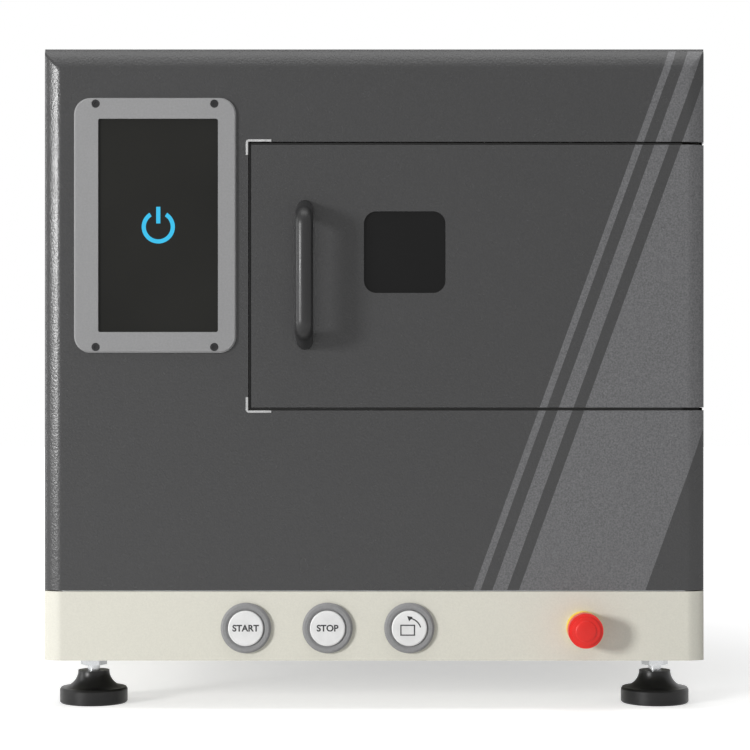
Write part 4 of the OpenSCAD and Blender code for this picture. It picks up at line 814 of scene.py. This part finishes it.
def floor_paint():
    """Matt pale paint that also glows for the rays that are seen, so it meets the white world."""
    paint = bpy.data.materials.new("studio_floor")
    paint.use_nodes = True
    tree = paint.node_tree
    shader = tree.nodes["Principled BSDF"]
    shader.inputs["Base Color"].default_value = (0.86, 0.86, 0.86, 1)
    shader.inputs["Roughness"].default_value = 0.9
    shader.inputs["Specular IOR Level"].default_value = 0.1
    place = tree.nodes.new("ShaderNodeTexCoord")
    away = tree.nodes.new("ShaderNodeVectorMath")
    away.operation = "LENGTH"
    tree.links.new(place.outputs["Object"], away.inputs[0])
    level = tree.nodes.new("ShaderNodeMapRange")
    limits = {"From Min": NEAR_REACH, "From Max": FAR_REACH, "To Min": LIFT_NEAR,
              "To Max": LIFT_FAR}
    for socket, value in limits.items():
        level.inputs[socket].default_value = value
    tree.links.new(away.outputs["Value"], level.inputs["Value"])
    lift = tree.nodes.new("ShaderNodeMath")
    lift.operation = "MULTIPLY"
    tree.links.new(seen_rays(tree), lift.inputs[0])
    tree.links.new(level.outputs["Result"], lift.inputs[1])
    glow = tree.nodes.new("ShaderNodeEmission")
    tree.links.new(lift.outputs["Value"], glow.inputs["Strength"])
    add = tree.nodes.new("ShaderNodeAddShader")
    tree.links.new(shader.outputs["BSDF"], add.inputs[0])
    tree.links.new(glow.outputs["Emission"], add.inputs[1])
    tree.links.new(add.outputs["Shader"], tree.nodes["Material Output"].inputs["Surface"])
    return paint


def studio_floor():
    shape = bmesh.new()
    bmesh.ops.create_grid(shape, x_segments=1, y_segments=1, size=FLOOR_HALF)
    mesh = bpy.data.meshes.new("studio_floor")
    shape.to_mesh(mesh)
    shape.free()
    floor = bpy.data.objects.new("studio_floor", mesh)
    bpy.context.scene.collection.objects.link(floor)
    mesh.materials.append(floor_paint())


def studio_world():
    """White where it is seen or reflected, dimmer where it only fills the shadows."""
    world = bpy.data.worlds.new("studio")
    bpy.context.scene.world = world
    world.use_nodes = True
    tree = world.node_tree
    background = tree.nodes["Background"]
    background.inputs["Color"].default_value = (1, 1, 1, 1)
    level = tree.nodes.new("ShaderNodeMapRange")
    level.inputs["To Min"].default_value = WORLD_FILL
    level.inputs["To Max"].default_value = WORLD_SEEN
    tree.links.new(seen_rays(tree), level.inputs["Value"])
    tree.links.new(level.outputs["Result"], background.inputs["Strength"])


def lamp(name, place, target, width, height, power):
    data = bpy.data.lights.new(name, "AREA")
    data.shape = "RECTANGLE"
    data.size = width
    data.size_y = height
    data.energy = power
    light = bpy.data.objects.new(name, data)
    light.location = place
    light.rotation_mode = "QUATERNION"
    light.rotation_quaternion = (Vector(target) - Vector(place)).to_track_quat("-Z", "Y")
    bpy.context.scene.collection.objects.link(light)


def photographer():
    view = bpy.data.cameras.new("camera")
    view.lens = 112.9
    view.sensor_width = 36.0
    camera = bpy.data.objects.new("camera", view)
    camera.location = (-0.0042, FACE_Y - 1.700, 0.2425)
    camera.rotation_euler = (math.pi / 2, 0, 0)
    bpy.context.scene.collection.objects.link(camera)
    bpy.context.scene.camera = camera


studio_floor()
studio_world()
# The key throws the handle's shadow to the right and lights the left fold; the strip lifts the
# base's left edge, and the panel the top fold
lamp("key_light", (-2.31, FACE_Y - 2.21, 0.66), (0, FACE_Y, 0.26), 0.6, 0.6, 69)
lamp("left_strip", (-1.70, FACE_Y + 0.02, 0.52), (-0.24, FACE_Y, 0.30), 0.26, 1.1, 6)
lamp("top_panel", (0, -0.60, 1.76), (0, -0.14, 0.45), 1.5, 0.7, 9)
photographer()
bpy.context.scene.view_settings.view_transform = "Standard"
